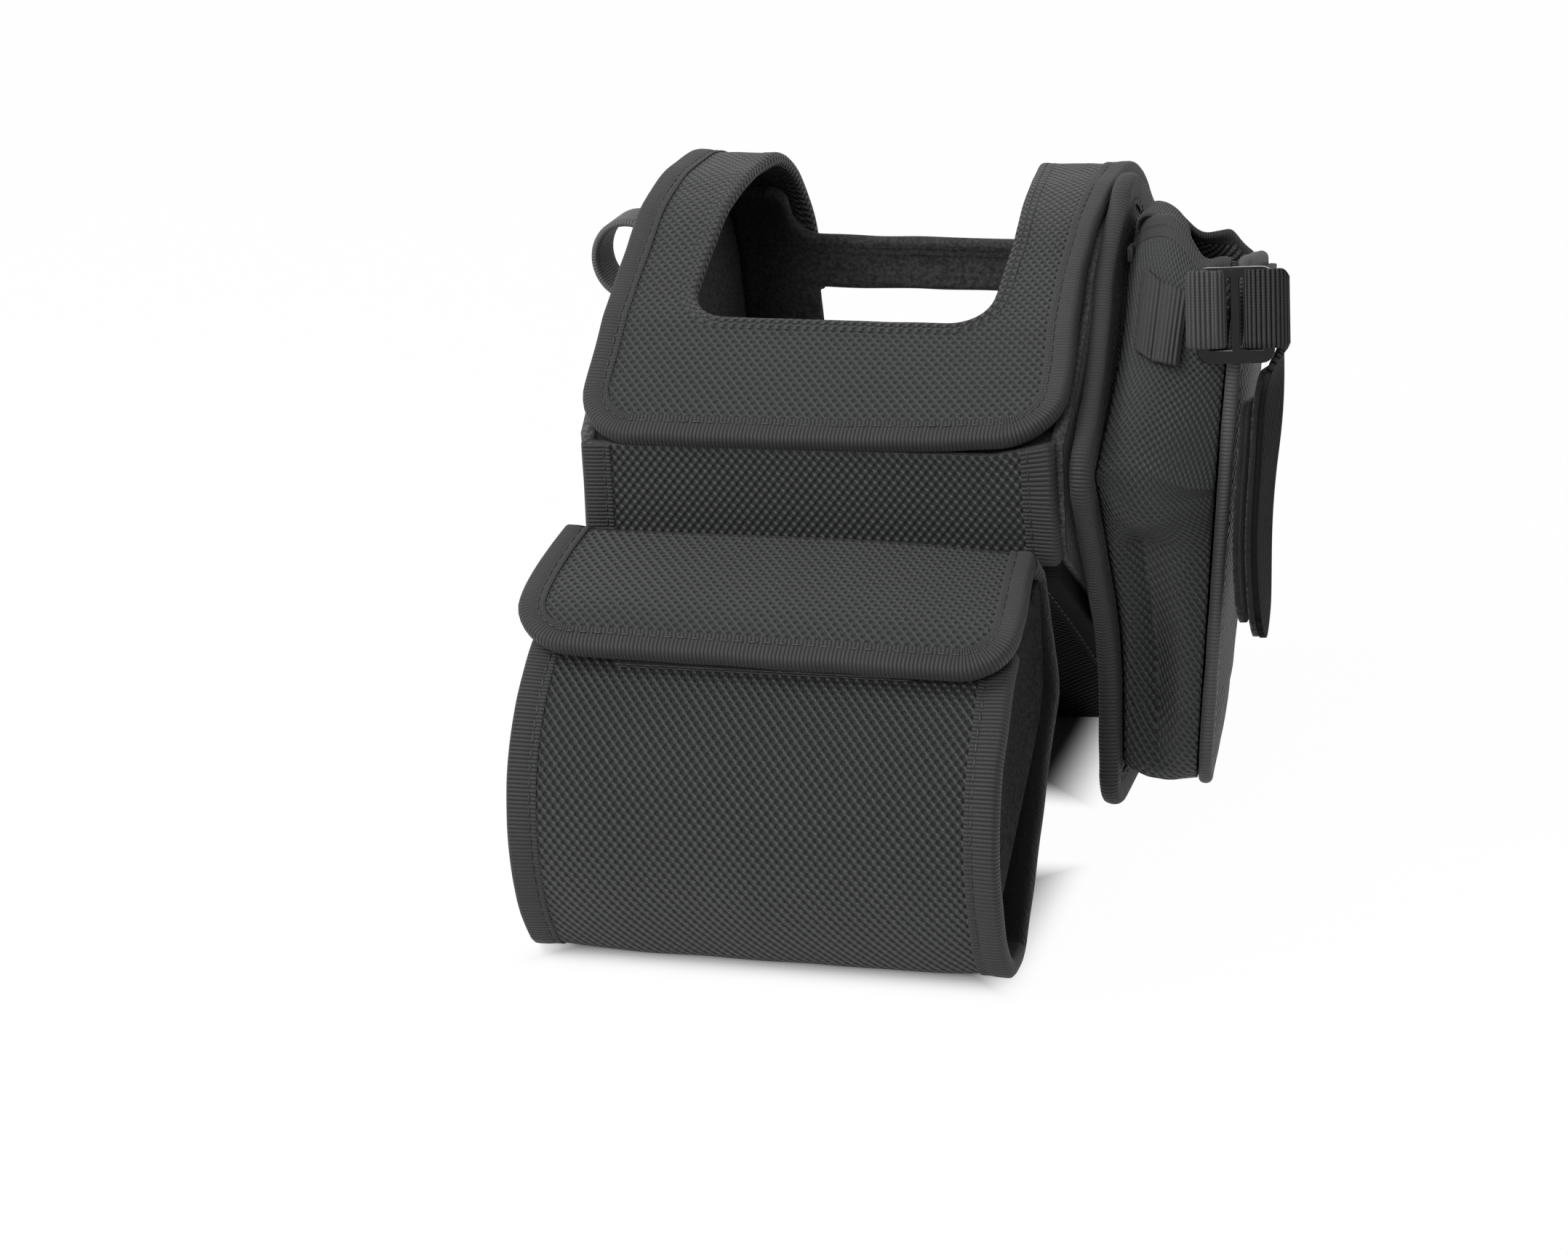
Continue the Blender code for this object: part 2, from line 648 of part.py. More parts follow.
class Gusset:
    """Soft strip between the pouch's back panel and its outer face: front, bottom and rear."""

    ROWS = 44
    COLUMNS = 7

    def __init__(self):
        seam = inset(pouch_outline(), [POUCH_SEAM_INSET] * 6)
        front_foot, rear_foot, rear, peak, nose, waist = seam
        slope = (peak[0] - nose[0]) / (peak[1] - nose[1])
        mouth = nose[0] + (POUCH_MOUTH_FRONT - nose[1]) * slope
        rise = Vector(peak[:2]) - Vector(rear[:2])
        top = Vector(rear[:2]) + rise * (POUCH_REAR_RISE / rise.y)
        inner = [(mouth, POUCH_MOUTH_FRONT, 0), nose, waist, front_foot, rear_foot, rear, (*top, 0)]
        face = inset(face_outline(), [CLEAR] * 5)
        outer = [(*face[3][:2], 0), face[4], face[0], face[1], (*face[2][:2], 0)]
        self.inner = resampled(rounded(inner), self.ROWS)
        self.outer = resampled(rounded(outer), self.ROWS)
        self.spacing = min((one - two).length for one, two in zip(self.outer, self.outer[1:]))
        self.inner_left = normals(self.inner)
        self.outer_left = normals(self.outer)

    def at(self, row, share, lift):
        """A point a share of the way from the back panel to the outer face."""
        low = min(max(int(row), 0), self.ROWS - 2)
        part = row - low
        inner = self.inner[low].lerp(self.inner[low + 1], part)
        outer = self.outer[low].lerp(self.outer[low + 1], part)
        left = self.inner_left[low].lerp(self.inner_left[low + 1], part)
        left = left.lerp(self.outer_left[low].lerp(self.outer_left[low + 1], part), share).normalized()
        swell = POUCH_BULGE * sin(pi * share)
        spot = inner.lerp(outer, share) - left * (swell + lift)
        start = POUCH_OUTER_X + CLEAR
        end = face_x(outer.x, outer.y) - POUCH_CLOTH - EDGE - CLEAR
        return Vector((start + (end - start) * share, spot.x, spot.y))

    def patch(self, rows, shares, low, high):
        """A closed piece that follows the strip between two lifts."""
        bm = bmesh.new()
        faces = []
        for lift in (low, high):
            grid = [[bm.verts.new(self.at(r, s, lift)) for s in shares] for r in rows]
            faces.append(grid)
        bottom, top = faces
        for i in range(len(rows) - 1):
            for j in range(len(shares) - 1):
                for grid in faces:
                    bm.faces.new((grid[i][j], grid[i + 1][j], grid[i + 1][j + 1], grid[i][j + 1]))
        rim = [(i, 0) for i in range(len(rows))]
        rim += [(len(rows) - 1, j) for j in range(1, len(shares))]
        rim += [(i, len(shares) - 1) for i in range(len(rows) - 2, -1, -1)]
        rim += [(0, j) for j in range(len(shares) - 2, 0, -1)]
        for k, (i, j) in enumerate(rim):
            m, n = rim[k - 1]
            bm.faces.new((bottom[m][n], bottom[i][j], top[i][j], top[m][n]))
        return bm


def build_pouch():
    """Side pouch: bound back panel, soft gusset, bound outer face and a taped mouth."""
    outline = rounded(pouch_outline(), True)

    def lay_back(y, z, depth):
        return Vector((POUCH_OUTER_X - depth, y, z))

    laminate("pouch_back", [outline], lay_back, CASE)
    node("pouch_back_tape", edge_tape(outline, lay_back, closed=True), TAPE_LOOK, CASE)
    face = rounded(face_outline(), True)
    node("pouch_face", sheet([face], lay_face, 0, POUCH_CLOTH), CLOTH_LOOK, CASE)
    bm = edge_tape(face, lay_face, closed=True, thickness=POUCH_CLOTH)
    node("pouch_face_tape", bm, TAPE_LOOK, CASE)
    strip = Gusset()
    shares = [j / (strip.COLUMNS - 1) for j in range(strip.COLUMNS)]
    seam = strip.ROWS // 2
    gap = CLEAR / (2 * strip.spacing)
    front = [*range(seam), seam - gap]
    rear = [seam + gap, *range(seam + 1, strip.ROWS)]
    for side, rows in (("front", front), ("rear", rear)):
        node(f"pouch_gusset_{side}", strip.patch(rows, shares, -POUCH_CLOTH, 0), CLOTH_LOOK, CASE)
    return strip


# Strap, slide and rings

def slide_frame():
    """Place of the three-bar slide: X along the strap, Y into the pouch, Z up the webbing."""
    centre = Vector((face_x(SLIDE_Y, SLIDE_Z) - SLIDE_STANDOFF, SLIDE_Y, SLIDE_Z))
    turned = Matrix.Rotation(SLIDE_TURN, 4, "Z") @ Matrix.Rotation(SLIDE_LEAN, 4, "X")
    return Matrix.Translation(centre) @ turned


def build_slide(frame, hinge):
    """Three-bar slide: a rounded frame with two slots for the webbing."""
    half = SLIDE_WIDTH / 2
    tall = WEB_WIDTH / 2 + SLIDE_PLAY
    high = tall + SLIDE_BAR
    mid = SLIDE_MIDDLE_BAR / 2
    outline = rounded([(half, -high, SLIDE_BAR), (half, high, SLIDE_BAR),
                       (-half, high, SLIDE_BAR), (-half, -high, SLIDE_BAR)], True)
    slots = []
    for sign in (-1, 1):
        a, b = sign * mid, sign * (half - SLIDE_BAR)
        slots.append(rounded([(a, -tall, 0), (b, -tall, 0), (b, tall, 0), (a, tall, 0)], True))

    def lay(x, z, depth):
        return frame @ Vector((x, depth, z))

    bm = sheet([outline] + slots, lay, -SLIDE_THICK / 2, SLIDE_THICK / 2)
    bmesh.ops.recalc_face_normals(bm, faces=bm.faces)
    flat = frame.to_3x3() @ Vector((0, 1, 0))
    caps = {f for f in bm.faces if abs(f.normal.dot(flat)) > 0.9}
    rims = [e for e in bm.edges if sum(f in caps for f in e.link_faces) == 1]
    bmesh.ops.bevel(bm, geom=rims, offset=SLIDE_ROUND, segments=2, profile=0.5, affect="EDGES")
    node("strap_slide", bm, PLASTIC_LOOK, hinge)


def webbing_turn():
    """Half the height of a webbing loop round one of the slide's bars."""
    return SLIDE_THICK / 2 + CLEAR + WEB


def build_strap(strip, frame, tail_hinge):
    """Sewn anchor, its loop on the slide, the run over the pouch and the free tail."""
    turn = webbing_turn()
    bar = SLIDE_WIDTH / 2 - SLIDE_BAR / 2
    near = STRAP_GAP / 2
    half = WEB_WIDTH / 2

    def lay_slide(bend):
        def lay(up, along, depth):
            point = bend.at(along, depth)
            return frame @ Vector((point.x, point.y, up))
        return lay

    far = bar + STRAP_LOOP_REACH
    ring = rounded([(-near, -turn, turn), (-near, turn, turn), (-far, turn, turn), (-far, -turn, turn)], True)
    lefts = normals(ring, True)
    rings = []
    for point, left in zip(ring, lefts):
        spots = [(point, -half), (point, half), (point + left * WEB, half), (point + left * WEB, -half)]
        rings.append([frame @ Vector((p.x, p.y, z)) for p, z in spots])
    node("strap_loop", sweep(rings, True), WEB_LOOK, CASE)

    reach = TAIL_CORNER
    past = Vector((reach, -turn)) + Vector((cos(TAIL_TURN), sin(TAIL_TURN))) * TAIL_RUN
    bend = Bend([(bar + SLIDE_BAR, turn, 0), (near, turn, turn), (near, -turn, turn),
                 (reach, -turn, TAIL_CORNER_R), (past.x, past.y, 0)])
    end = bend.length
    start = end - WEB_WIDTH
    tail = rounded([(half, 0, 0), (half, end, half), (-TAIL_DROP, end, TAIL_TIP_R),
                    (-TAIL_DROP, start, TAIL_TIP_R), (-half, start, WEB), (-half, 0, 0)], True)
    bm = sheet([tail], lay_slide(bend), 0, WEB, bend.stations)
    node("strap_tail", bm, WEB_LOOK, tail_hinge)

    rows = [r for r in range(strip.ROWS // 2)
            if abs(strip.outer[r].y - SLIDE_Z) < ANCHOR_HEIGHT / 2]
    width = strip.at(rows[0], 1, 0).x - strip.at(rows[0], 0, 0).x
    steps = strip.COLUMNS
    shares = [(ANCHOR_INSET + ANCHOR_LENGTH * j / (steps - 1)) / width for j in range(steps)]
    node("strap_anchor", strip.patch(rows, shares, CLEAR, CLEAR + WEB), WEB_LOOK, CASE)

    front, rear = POUCH_FACE_FRONT + 2 * TAPE_COVER, POUCH_FACE_REAR
    mouth_fall = (POUCH_MOUTH - POUCH_MOUTH_REAR) / (rear - POUCH_FACE_FRONT - POUCH_FACE_LEAN)
    low, high = SLIDE_Z - half, SLIDE_Z + half
    fall = mouth_fall * (rear - front)
    run = rounded([(front, low, 0), (rear, low - fall, 0), (rear, high - fall, 0), (front, high, 0)], True)
    bm = sheet([run], lay_face, -EDGE - CLEAR - WEB, -EDGE - CLEAR)
    node("strap_run", bm, WEB_LOOK, CASE)


def build_ring(name, hinge, sign, tilt):
    """A webbing ring that swings in its keeper; drawn level, then tilted up about its axis."""
    turn = Matrix.Translation(hinge.location) @ Matrix.Rotation(-sign * tilt, 4, "Y")
    rings = []
    for k in range(RING_SIDES):
        angle = 2 * pi * k / RING_SIDES
        ring = []
        for radius, y in ((RING_R, -1), (RING_R, 1), (RING_R - RING_BAND, 1), (RING_R - RING_BAND, -1)):
            out = RING_R - RING_BAND / 2 - radius * cos(angle)
            ring.append(turn @ Vector((sign * out, y * RING_WIDTH / 2, radius * sin(angle))))
        rings.append(ring)
    node(name, sweep(rings, True), WEB_LOOK, hinge)


def build_keeper(name, face, place, height, sign):
    """Sewn strip that bridges the near side of a ring."""
    bridge = RING_SWING_GAP + RING_BAND + RING_PLAY + KEEPER
    span = RING_WIDTH / 2 + CLEAR + KEEPER
    foot = span + KEEPER_FOOT
    low = CLEAR + KEEPER
    bend = Bend([(-foot, low, 0), (-span, low, KEEPER), (-span, bridge, 2 * KEEPER),
                 (span, bridge, 2 * KEEPER), (span, low, KEEPER), (foot, low, 0)])

    def lay(up, along, depth):
        point = bend.at(along, -depth)
        return Vector((sign * (face + point.y), place + point.x, height + up))

    half = KEEPER_HEIGHT / 2
    outline = rounded([(half, 0, 0), (half, bend.length, 0), (-half, bend.length, 0), (-half, 0, 0)], True)
    node(name, sheet([outline], lay, 0, KEEPER, bend.stations), WEB_LOOK, CASE)


def clear_scene():
    """Starts from an empty scene."""
    for obj in list(bpy.data.objects):
        bpy.data.objects.remove(obj, do_unlink=True)


def main():
    """Builds every piece under one empty that sets the case's heel over the origin."""
    build_wrap()
    build_walls()
    build_rear_panel()
    build_facing()
    build_top_flap(pivot("top_flap_pivot", (0, FLAP_REAR - SHEET / 2, ARM_SEAM_HEIGHT), CASE))
    pocket = pocket_bend()
    build_front_pocket(pocket)
    ridge = pocket(0, pocket.along_at((RIDGE_Y, RIDGE_Z)), -EDGE)
    build_pocket_flap(pocket, pivot("pocket_flap_pivot", ridge, CASE))
    strip = build_pouch()
    frame = slide_frame()
    bar = SLIDE_WIDTH / 2 - SLIDE_BAR / 2
    slide_hinge = pivot("strap_slide_pivot", frame @ Vector((-bar, 0, 0)), CASE)
    tail_hinge = pivot("strap_tail_pivot", frame @ Vector((bar, 0, 0)), CASE)
    build_slide(frame, slide_hinge)
    build_strap(strip, frame, tail_hinge)
    reach = RING_SWING_GAP + RING_BAND / 2
    left_place = (BODY_DEPTH - LEFT_RING_FROM_BACK, ROOF_TOP - LEFT_RING_DROP)
    right_place = (POUCH_REAR - RIGHT_RING_FROM_BACK, POUCH_MOUTH - RIGHT_RING_DROP)
    for side, sign, face, (place, height), tilt in (
            ("left", -1, WALL_OUT, left_place, 0.0),
            ("right", 1, POUCH_OUTER_X, right_place, RIGHT_RING_TILT)):
        hinge = pivot(f"{side}_ring_pivot", (sign * (face + reach), place, height), CASE)
        build_ring(f"{side}_strap_ring", hinge, sign, tilt)
        build_keeper(f"{side}_ring_keeper", face, place, height, sign)


clear_scene()
CASE = pivot("case", (0, -(HEEL_START + BODY_DEPTH) / 2, 0), None)
main()
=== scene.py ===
"""Dresses the soft instrument case: bound cloth panels, a bulging front pocket, a soft side
pouch, webbing and a three-bar slide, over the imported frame. Sizes are in metres."""

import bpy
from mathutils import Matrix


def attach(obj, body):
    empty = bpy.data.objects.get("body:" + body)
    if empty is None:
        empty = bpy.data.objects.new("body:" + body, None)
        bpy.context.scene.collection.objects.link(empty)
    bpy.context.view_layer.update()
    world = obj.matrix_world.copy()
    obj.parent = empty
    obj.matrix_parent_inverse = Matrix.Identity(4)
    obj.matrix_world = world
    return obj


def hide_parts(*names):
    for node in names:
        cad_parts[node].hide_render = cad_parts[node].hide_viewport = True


bl_info = {
    "name": "Soft instrument case",
    "version": (1, 0, 0),
    "blender": (4, 5, 0),
    "location": "View3D > Sidebar > Case",
    "description": "Sews the cloth, tape and webbing of a soft instrument case over its frame",
    "category": "Add Mesh",
}

from bisect import bisect_right
from contextlib import contextmanager
from math import atan, ceil, cos, exp, floor, pi, radians, sin, tan

import bpy
import numpy as np
from bpy.props import FloatProperty, FloatVectorProperty, PointerProperty
from mathutils import Matrix, Vector, noise

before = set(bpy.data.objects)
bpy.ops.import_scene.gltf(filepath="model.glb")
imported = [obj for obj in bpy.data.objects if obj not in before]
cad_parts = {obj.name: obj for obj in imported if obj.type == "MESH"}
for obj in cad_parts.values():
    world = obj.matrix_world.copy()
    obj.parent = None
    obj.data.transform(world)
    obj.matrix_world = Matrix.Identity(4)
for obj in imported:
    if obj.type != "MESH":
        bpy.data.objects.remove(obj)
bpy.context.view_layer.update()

MM = 0.001

# Build-up of the bound panels, as in the solids
CLEAR = 0.3 * MM
SHEET = 3.1 * MM
EDGE = 1.0 * MM
PATCH = 0.8 * MM
LINED = ["woven_cloth", "smooth_lining"]
# Painted light: the flaps' cloth is a copy of the outer cloth, its weave evened and toned as if lit from
# above
TOP_LIT = ["top_lit_cloth", "smooth_lining"]
TAPE_COVER = 7.0 * MM
HEM_COVER = 3.0 * MM
TAPE_STEP = 2.2 * MM
SEAM_INSET = 1.7 * MM
STITCH_LIFT = 0.46 * MM
FLOOR_GAP = 0.05 * MM
STANDOFF = SHEET + EDGE + CLEAR
SHIFT = -119.25 * MM

# Main compartment and its flap, from the front panel's outer face
WIDTH = 120.0 * MM
HALF = WIDTH / 2 - EDGE
WALL_OUT = WIDTH / 2 + EDGE
WALL_IN = WALL_OUT - SHEET
BODY_DEPTH = 134.0 * MM
FRONT_TOP = 105.0 * MM
FRONT_FOOT = 79.0 * MM
HEEL_START = 104.5 * MM
EDGE_TAPE_STOP = 14.0 * MM
ROOF_TOP = 154.0 * MM
FLAP_REAR = BODY_DEPTH + STANDOFF
ROOF_BREAK = FLAP_REAR - 67.8 * MM
ROOF_FALL = (ROOF_TOP - FRONT_TOP - 5.3 * MM) / ROOF_BREAK
ARM_SEAM = 109.0 * MM
FLAP_LIP = -0.5 * MM
ARCH_R = 38.0 * MM
ROOF_BREAK_R = 60.0 * MM
CUTOUT_HALF = 38.0 * MM
CUTOUT_TO_LIP = 36.0 * MM
# How far the right arm's inner edge is drawn outwards, by its distance behind the cut-out's front
RIGHT_ARM = ([0, 15 * MM, 30 * MM, 45 * MM, 60 * MM, 85 * MM],
             [0, 1.4 * MM, 2.4 * MM, 1.6 * MM, 0.2 * MM, -2.7 * MM])
FLAP_COVER = 5.8 * MM
PATCH_MARGIN = 9.0 * MM
TOP_PATCH = (70.0 * MM, 16.0 * MM)
FACING = 1.2 * MM
BAND_TOP = 124.9 * MM
BAND_TALL = 13.4 * MM
EAR = (16.0 * MM, 18.0 * MM)
WINDOW_HALF = 37.0 * MM
WINDOW_FOOT = 34.0 * MM
# Painted shade: the wrap's right tape is painted dark from this far along it
WRAP_SHADE = 26.0 * MM

# Front pocket
BELLY = Vector((-21.4 * MM, 29.9 * MM))
BELLY_R = 46.0 * MM
BELLY_TOP = radians(64.0)
BELLY_FOOT = radians(33.0)
MOUTH_RUN = 4.0 * MM
RIDGE = (-11.5 * MM, 89.2 * MM)
POCKET_HEEL = -45.0 * MM
POCKET_GUSSET = 1.5 * MM
POCKET_GUSSET_X = 55.5 * MM
POCKET_PATCH = (70.0 * MM, 6.0 * MM)

# Side pouch and strap
POUCH_X = WALL_OUT + CLEAR + EDGE + SHEET
POUCH_CLOTH = 1.6 * MM
POUCH_FOOT = 9.5 * MM
POUCH_SEAM = 9.0 * MM
GUSSET_MOUTH = 133.0 * MM
FACE_FRONT = 28.0 * MM
FACE_REAR = 88.0 * MM
MOUTH = 145.0 * MM
MOUTH_REAR = 133.0 * MM
WEB = 1.4 * MM
WEB_HALF = 8.0 * MM
ANCHOR_LONG = 13.0 * MM
TAIL_END = -80.0 * MM
SLIDE_HALF = 9.0 * MM
SLIDE_BAR = 3.0 * MM
SLIDE_THICK = 2.6 * MM
SLIDE_Y = FACE_FRONT - 2.5 * MM
SLIDE_Z = MOUTH - 12.0 * MM
RING_R = 11.5 * MM
RING_BAND = 2.0 * MM
RING_HALF = 7.0 * MM

# Painted shadow on the floor under the pocket and the heel: half width, its middle's way ahead, half depth
POCKET_SHADE = (0.050, 0.148, 0.028)
HEEL_SHADE = (0.044, 0.030, 0.034)

# Camera, fitted to the photo's straight edges
CAMERA_SPOT = (0.24129, -0.88475, 0.35506)
CAMERA_YAW = 0.31688
CAMERA_PITCH = radians(20.0)
CAMERA_ROLL = -0.06559
CAMERA_LENS = 81.75


def length(name, description, value, least):
    """A length that a user may change."""
    return FloatProperty(name=name, description=description, default=value, min=least,
                         unit="LENGTH", precision=5)


class CaseSizes(bpy.types.PropertyGroup):
    """Sizes of the cloth and its sewing."""

    yarn_across: length("Yarn pitch across", "Distance between lengthwise yarns", 1.17 * MM, 0.2 * MM)
    yarn_along: length("Yarn pitch along", "Distance between crosswise yarns", 1.37 * MM, 0.2 * MM)
    tape_rib: length("Tape rib", "Distance between the ribs of the edge tape", 0.95 * MM, 0.3 * MM)
    web_rib: length("Webbing rib", "Distance between the ribs of the strap webbing", 1.15 * MM, 0.3 * MM)
    crown: length("Crown", "How far a panel swells between its bound edges", 0.9 * MM, 0.0)
    wrinkle: length("Wrinkle", "Depth of the soft unevenness of the panels", 0.7 * MM, 0.0)
    stitch: length("Stitch length", "Length of one stitch", 2.5 * MM, 0.5 * MM)
    stitch_gap: length("Stitch gap", "Distance between two stitches", 0.9 * MM, 0.1 * MM)
    thread: length("Thread", "Thickness of the sewing thread", 0.42 * MM, 0.1 * MM)


def colour(name, description, value):
    """A colour that a user may change."""
    return FloatVectorProperty(name=name, description=description, default=value, size=3,
                               min=0.0, max=1.0, subtype="COLOR")


class CaseColours(bpy.types.PropertyGroup):
    """Colours of the cloth, its trimmings and the stage."""

    yarn: colour("Yarn", "Raised yarns of the outer cloth", (0.0315, 0.033, 0.033))
    shade: colour("Yarn shade", "Hollows between the yarns", (0.002, 0.0022, 0.0026))
    tape: colour("Tape", "Edge tape", (0.0165, 0.017, 0.0168))
    webbing: colour("Webbing", "Strap, rings and keepers", (0.038, 0.039, 0.038))
    lining: colour("Lining", "Smooth inner cloth", (0.030, 0.030, 0.031))
    # The pile's colour also serves as painted shade where the pile finish is put on pieces that are not
    # patches
    pile: colour("Pile", "Hook and loop patches", (0.007, 0.007, 0.008))
    plastic: colour("Plastic", "Moulded slide", (0.004, 0.004, 0.005))
    thread: colour("Thread", "Sewing thread", (0.007, 0.007, 0.008))
    floor: colour("Floor", "Floor under the case", (0.88, 0.88, 0.88))


# Node trees

class Wire:
    """A value in a node tree; arithmetic on it adds Math nodes."""

    def __init__(self, nodes, socket):
        self.nodes = nodes
        self.socket = socket

    def math(self, operation, *others, first=None):
        values = [self, *others] if first is None else [first, self, *others]
        return self.nodes.add("ShaderNodeMath", {"operation": operation}, dict(enumerate(values)))

    def __add__(self, other):
        return self.math("ADD", other)

    __radd__ = __add__

    def __mul__(self, other):
        return self.math("MULTIPLY", other)

    __rmul__ = __mul__

    def __sub__(self, other):
        return self.math("SUBTRACT", other)

    def __rsub__(self, other):
        return self.math("SUBTRACT", first=other)

    def size(self):
        return self.math("ABSOLUTE")

    def sine(self):
        return self.math("SINE")

    def cosine(self):
        return self.math("COSINE")

    def most(self, other):
        return self.math("MAXIMUM", other)

    def least(self, other):
        return self.math("MINIMUM", other)

    def above(self, edge, soft):
        """0 below the edge, 1 above it, with a soft step between."""
        step = {"interpolation_type": "SMOOTHSTEP"}
        return self.nodes.add("ShaderNodeMapRange", step, {0: self, 1: edge - soft, 2: edge + soft})


class Nodes:
    """A node tree under way."""

    def __init__(self, tree):
        self.tree = tree

    def feed(self, socket, value):
        if isinstance(value, Wire):
            self.tree.links.new(value.socket, socket)
        else:
            socket.default_value = value

    def add(self, kind, settings=None, values=None, out=0):
        """Adds a node of any kind, sets it up, feeds its sockets and gives one of its outputs."""
        node = self.tree.nodes.new(kind)
        for key, value in (settings or {}).items():
            setattr(node, key, value)
        for key, value in (values or {}).items():
            self.feed(node.inputs[key], value)
        return Wire(self, node.outputs[out])

    def seen(self):
        """1 for what the camera sees straight, mirrored or through something, otherwise 0."""
        seen = rays = self.add("ShaderNodeLightPath")
        for name in ("Is Glossy Ray", "Is Transmission Ray"):
            seen = seen.most(Wire(self, rays.socket.node.outputs[name]))
        return seen


class Finish(Nodes):
    """A material under way, with its one shader."""

    def __init__(self, name):
        self.material = bpy.data.materials.new(name)
        self.material.use_nodes = True
        super().__init__(self.material.node_tree)
        self.shader = self.tree.nodes["Principled BSDF"]

    def flat(self):
        """The place on the cut cloth, across and along, in metres."""
        spot = self.add("ShaderNodeUVMap", {"uv_map": "UVMap"})
        split = self.add("ShaderNodeSeparateXYZ", None, {0: spot})
        return split, Wire(self, split.socket.node.outputs[1])

    def cloud(self, pitch, detail=2.0):
        """Soft irregular variation over the piece, from 0 to 1."""
        place = self.add("ShaderNodeTexCoord", None, None, 3)
        return self.add("ShaderNodeTexNoise", None, {"Vector": place, "Scale": 1 / pitch, "Detail": detail})

    def blend(self, share, low, high):
        """A colour between two, by a share from 0 to 1."""
        return self.add("ShaderNodeMix", {"data_type": "RGBA"},
                        {0: share, 6: (*low, 1.0), 7: (*high, 1.0)}, 2)

    def bump(self, height, depth, strength=1.0):
        return self.add("ShaderNodeBump", None,
                        {"Strength": strength, "Distance": depth, "Height": height})

    def done(self, settings, **values):
        """Feeds the shader: plain settings on their sockets, then what varies."""
        for key, value in {**settings, **values}.items():
            self.feed(self.shader.inputs[key.replace("_", " ")], value)
        return self.material


def tint(colour, factor):
    """A colour made lighter or darker."""
    return tuple(min(1.0, c * factor) for c in colour)


def gloss(specular, sheen, matt=False):
    """Shine of a cloth; a matt one stays dark where it is seen at a flat angle."""
    return {"Specular_IOR_Level": 0.04 if matt else specular, "Sheen_Weight": 0.0 if matt else sheen}


def woven_finish(f, sizes, colours, edge, painted_top_light, pale, matt=False):
    """Ballistic plain weave: bright lengthwise floats, with the crosswise ones dark between them."""
    across, along = f.flat()
    across = across * (pi / sizes.yarn_across)
    along = along * (pi / sizes.yarn_along)
    over = 0.62 * (across - along).cosine() - 0.38 * (across + along).cosine()
    broad = f.cloud(0.030)
    fine = f.cloud(0.0009, 1.0)
    # Painted light: a share of even light lifts the dark floats, as on a face lit from above
    light = (painted_top_light + (1 - painted_top_light) * over.above(edge, 0.28)) * (0.80 + 0.40 * broad) * (0.70 + 0.60 * fine)
    base = f.blend(light, colours.shade, tint(colours.yarn, pale))
    return f.done(gloss(0.35, 0.06, matt), Base_Color=base, Roughness=0.75 - 0.22 * light,
                  Normal=f.bump(over, 0.50 * MM))


def ribbed_finish(f, colour, rib, depth, gap, turned=False, dim=1.0):
    """Ribs across a tape or strap, with dark lines between them and fine threads along it.

    A turned one has its length up and down. A dim one is matt and has painted shade below the slide."""
    along, across = reversed(f.flat()) if turned else f.flat()
    ridge = (along * (pi / rib)).sine().size()
    grain = (across * (pi / (0.55 * MM))).sine().size()
    height = ridge * 0.85 + grain * 0.15
    broad = f.cloud(0.022)
    fine = f.cloud(0.0008, 1.0)
    light = height.above(gap, 0.35) * (0.80 + 0.40 * broad) * (0.80 + 0.40 * fine)
    if dim < 1:
        # Painted shade: darker below the slide
        light = light * (dim + (1 - dim) * across.above(-15 * MM, 8 * MM))
    base = f.blend(light, tint(colour, 0.10), tint(colour, 1.2))
    return f.done(gloss(0.35, 0.05, dim < 1), Base_Color=base, Roughness=0.76 - 0.18 * height,
                  Normal=f.bump(height, depth))


def lining_finish(f, colour, matt=False):
    """Close-woven lining with a short brushed nap."""
    across, along = f.flat()
    twill = ((across + along) * (pi / (0.9 * MM))).sine().size()
    nap = f.cloud(0.0010, 4.0)
    broad = f.cloud(0.025)
    light = (0.25 * twill + 0.9 * nap.above(0.5, 0.22)) * (0.6 + 0.8 * broad)
    base = f.blend(light, tint(colour, 0.35), tint(colour, 1.7))
    return f.done(gloss(0.25, 0.05, matt), Base_Color=base, Roughness=0.88 - 0.10 * nap,
                  Normal=f.bump(nap, 0.35 * MM, 0.8))


def pile_finish(f, colours):
    """Dense tangled pile of the hook and loop patches; the same dark finish is also painted as shade on some
    other pieces.
    """
    tangle = f.cloud(0.0011, 4.0)
    broad = f.cloud(0.009)
    base = f.blend(tangle * (0.6 + 0.8 * broad), tint(colours.pile, 0.3), tint(colours.pile, 2.2))
    return f.done(gloss(0.2, 0.2), Base_Color=base, Roughness=0.85 + 0.12 * tangle,
                  Normal=f.bump(tangle, 0.6 * MM))


def plastic_finish(f, colours):
    """Polished moulded plastic with a faint flow texture and rubbed spots."""
    flow = f.cloud(0.004, 3.0)
    rub = f.cloud(0.0015, 4.0)
    base = f.blend(flow, tint(colours.plastic, 0.8), tint(colours.plastic, 1.6))
    rough = 0.10 + 0.08 * flow + 0.10 * rub.above(0.62, 0.08)
    return f.done({"Specular_IOR_Level": 0.25}, Base_Color=base, Roughness=rough,
                  Normal=f.bump(rub, 0.02 * MM, 0.3))


def thread_finish(f, colours):
    """Twisted sewing thread."""
    twist = f.cloud(0.0006, 2.0)
    base = f.blend(twist, tint(colours.thread, 0.6), tint(colours.thread, 2.0))
    return f.done({"Specular_IOR_Level": 0.5}, Base_Color=base, Roughness=0.45 + 0.2 * twist,
                  Normal=f.bump(twist, 0.1 * MM, 0.6))


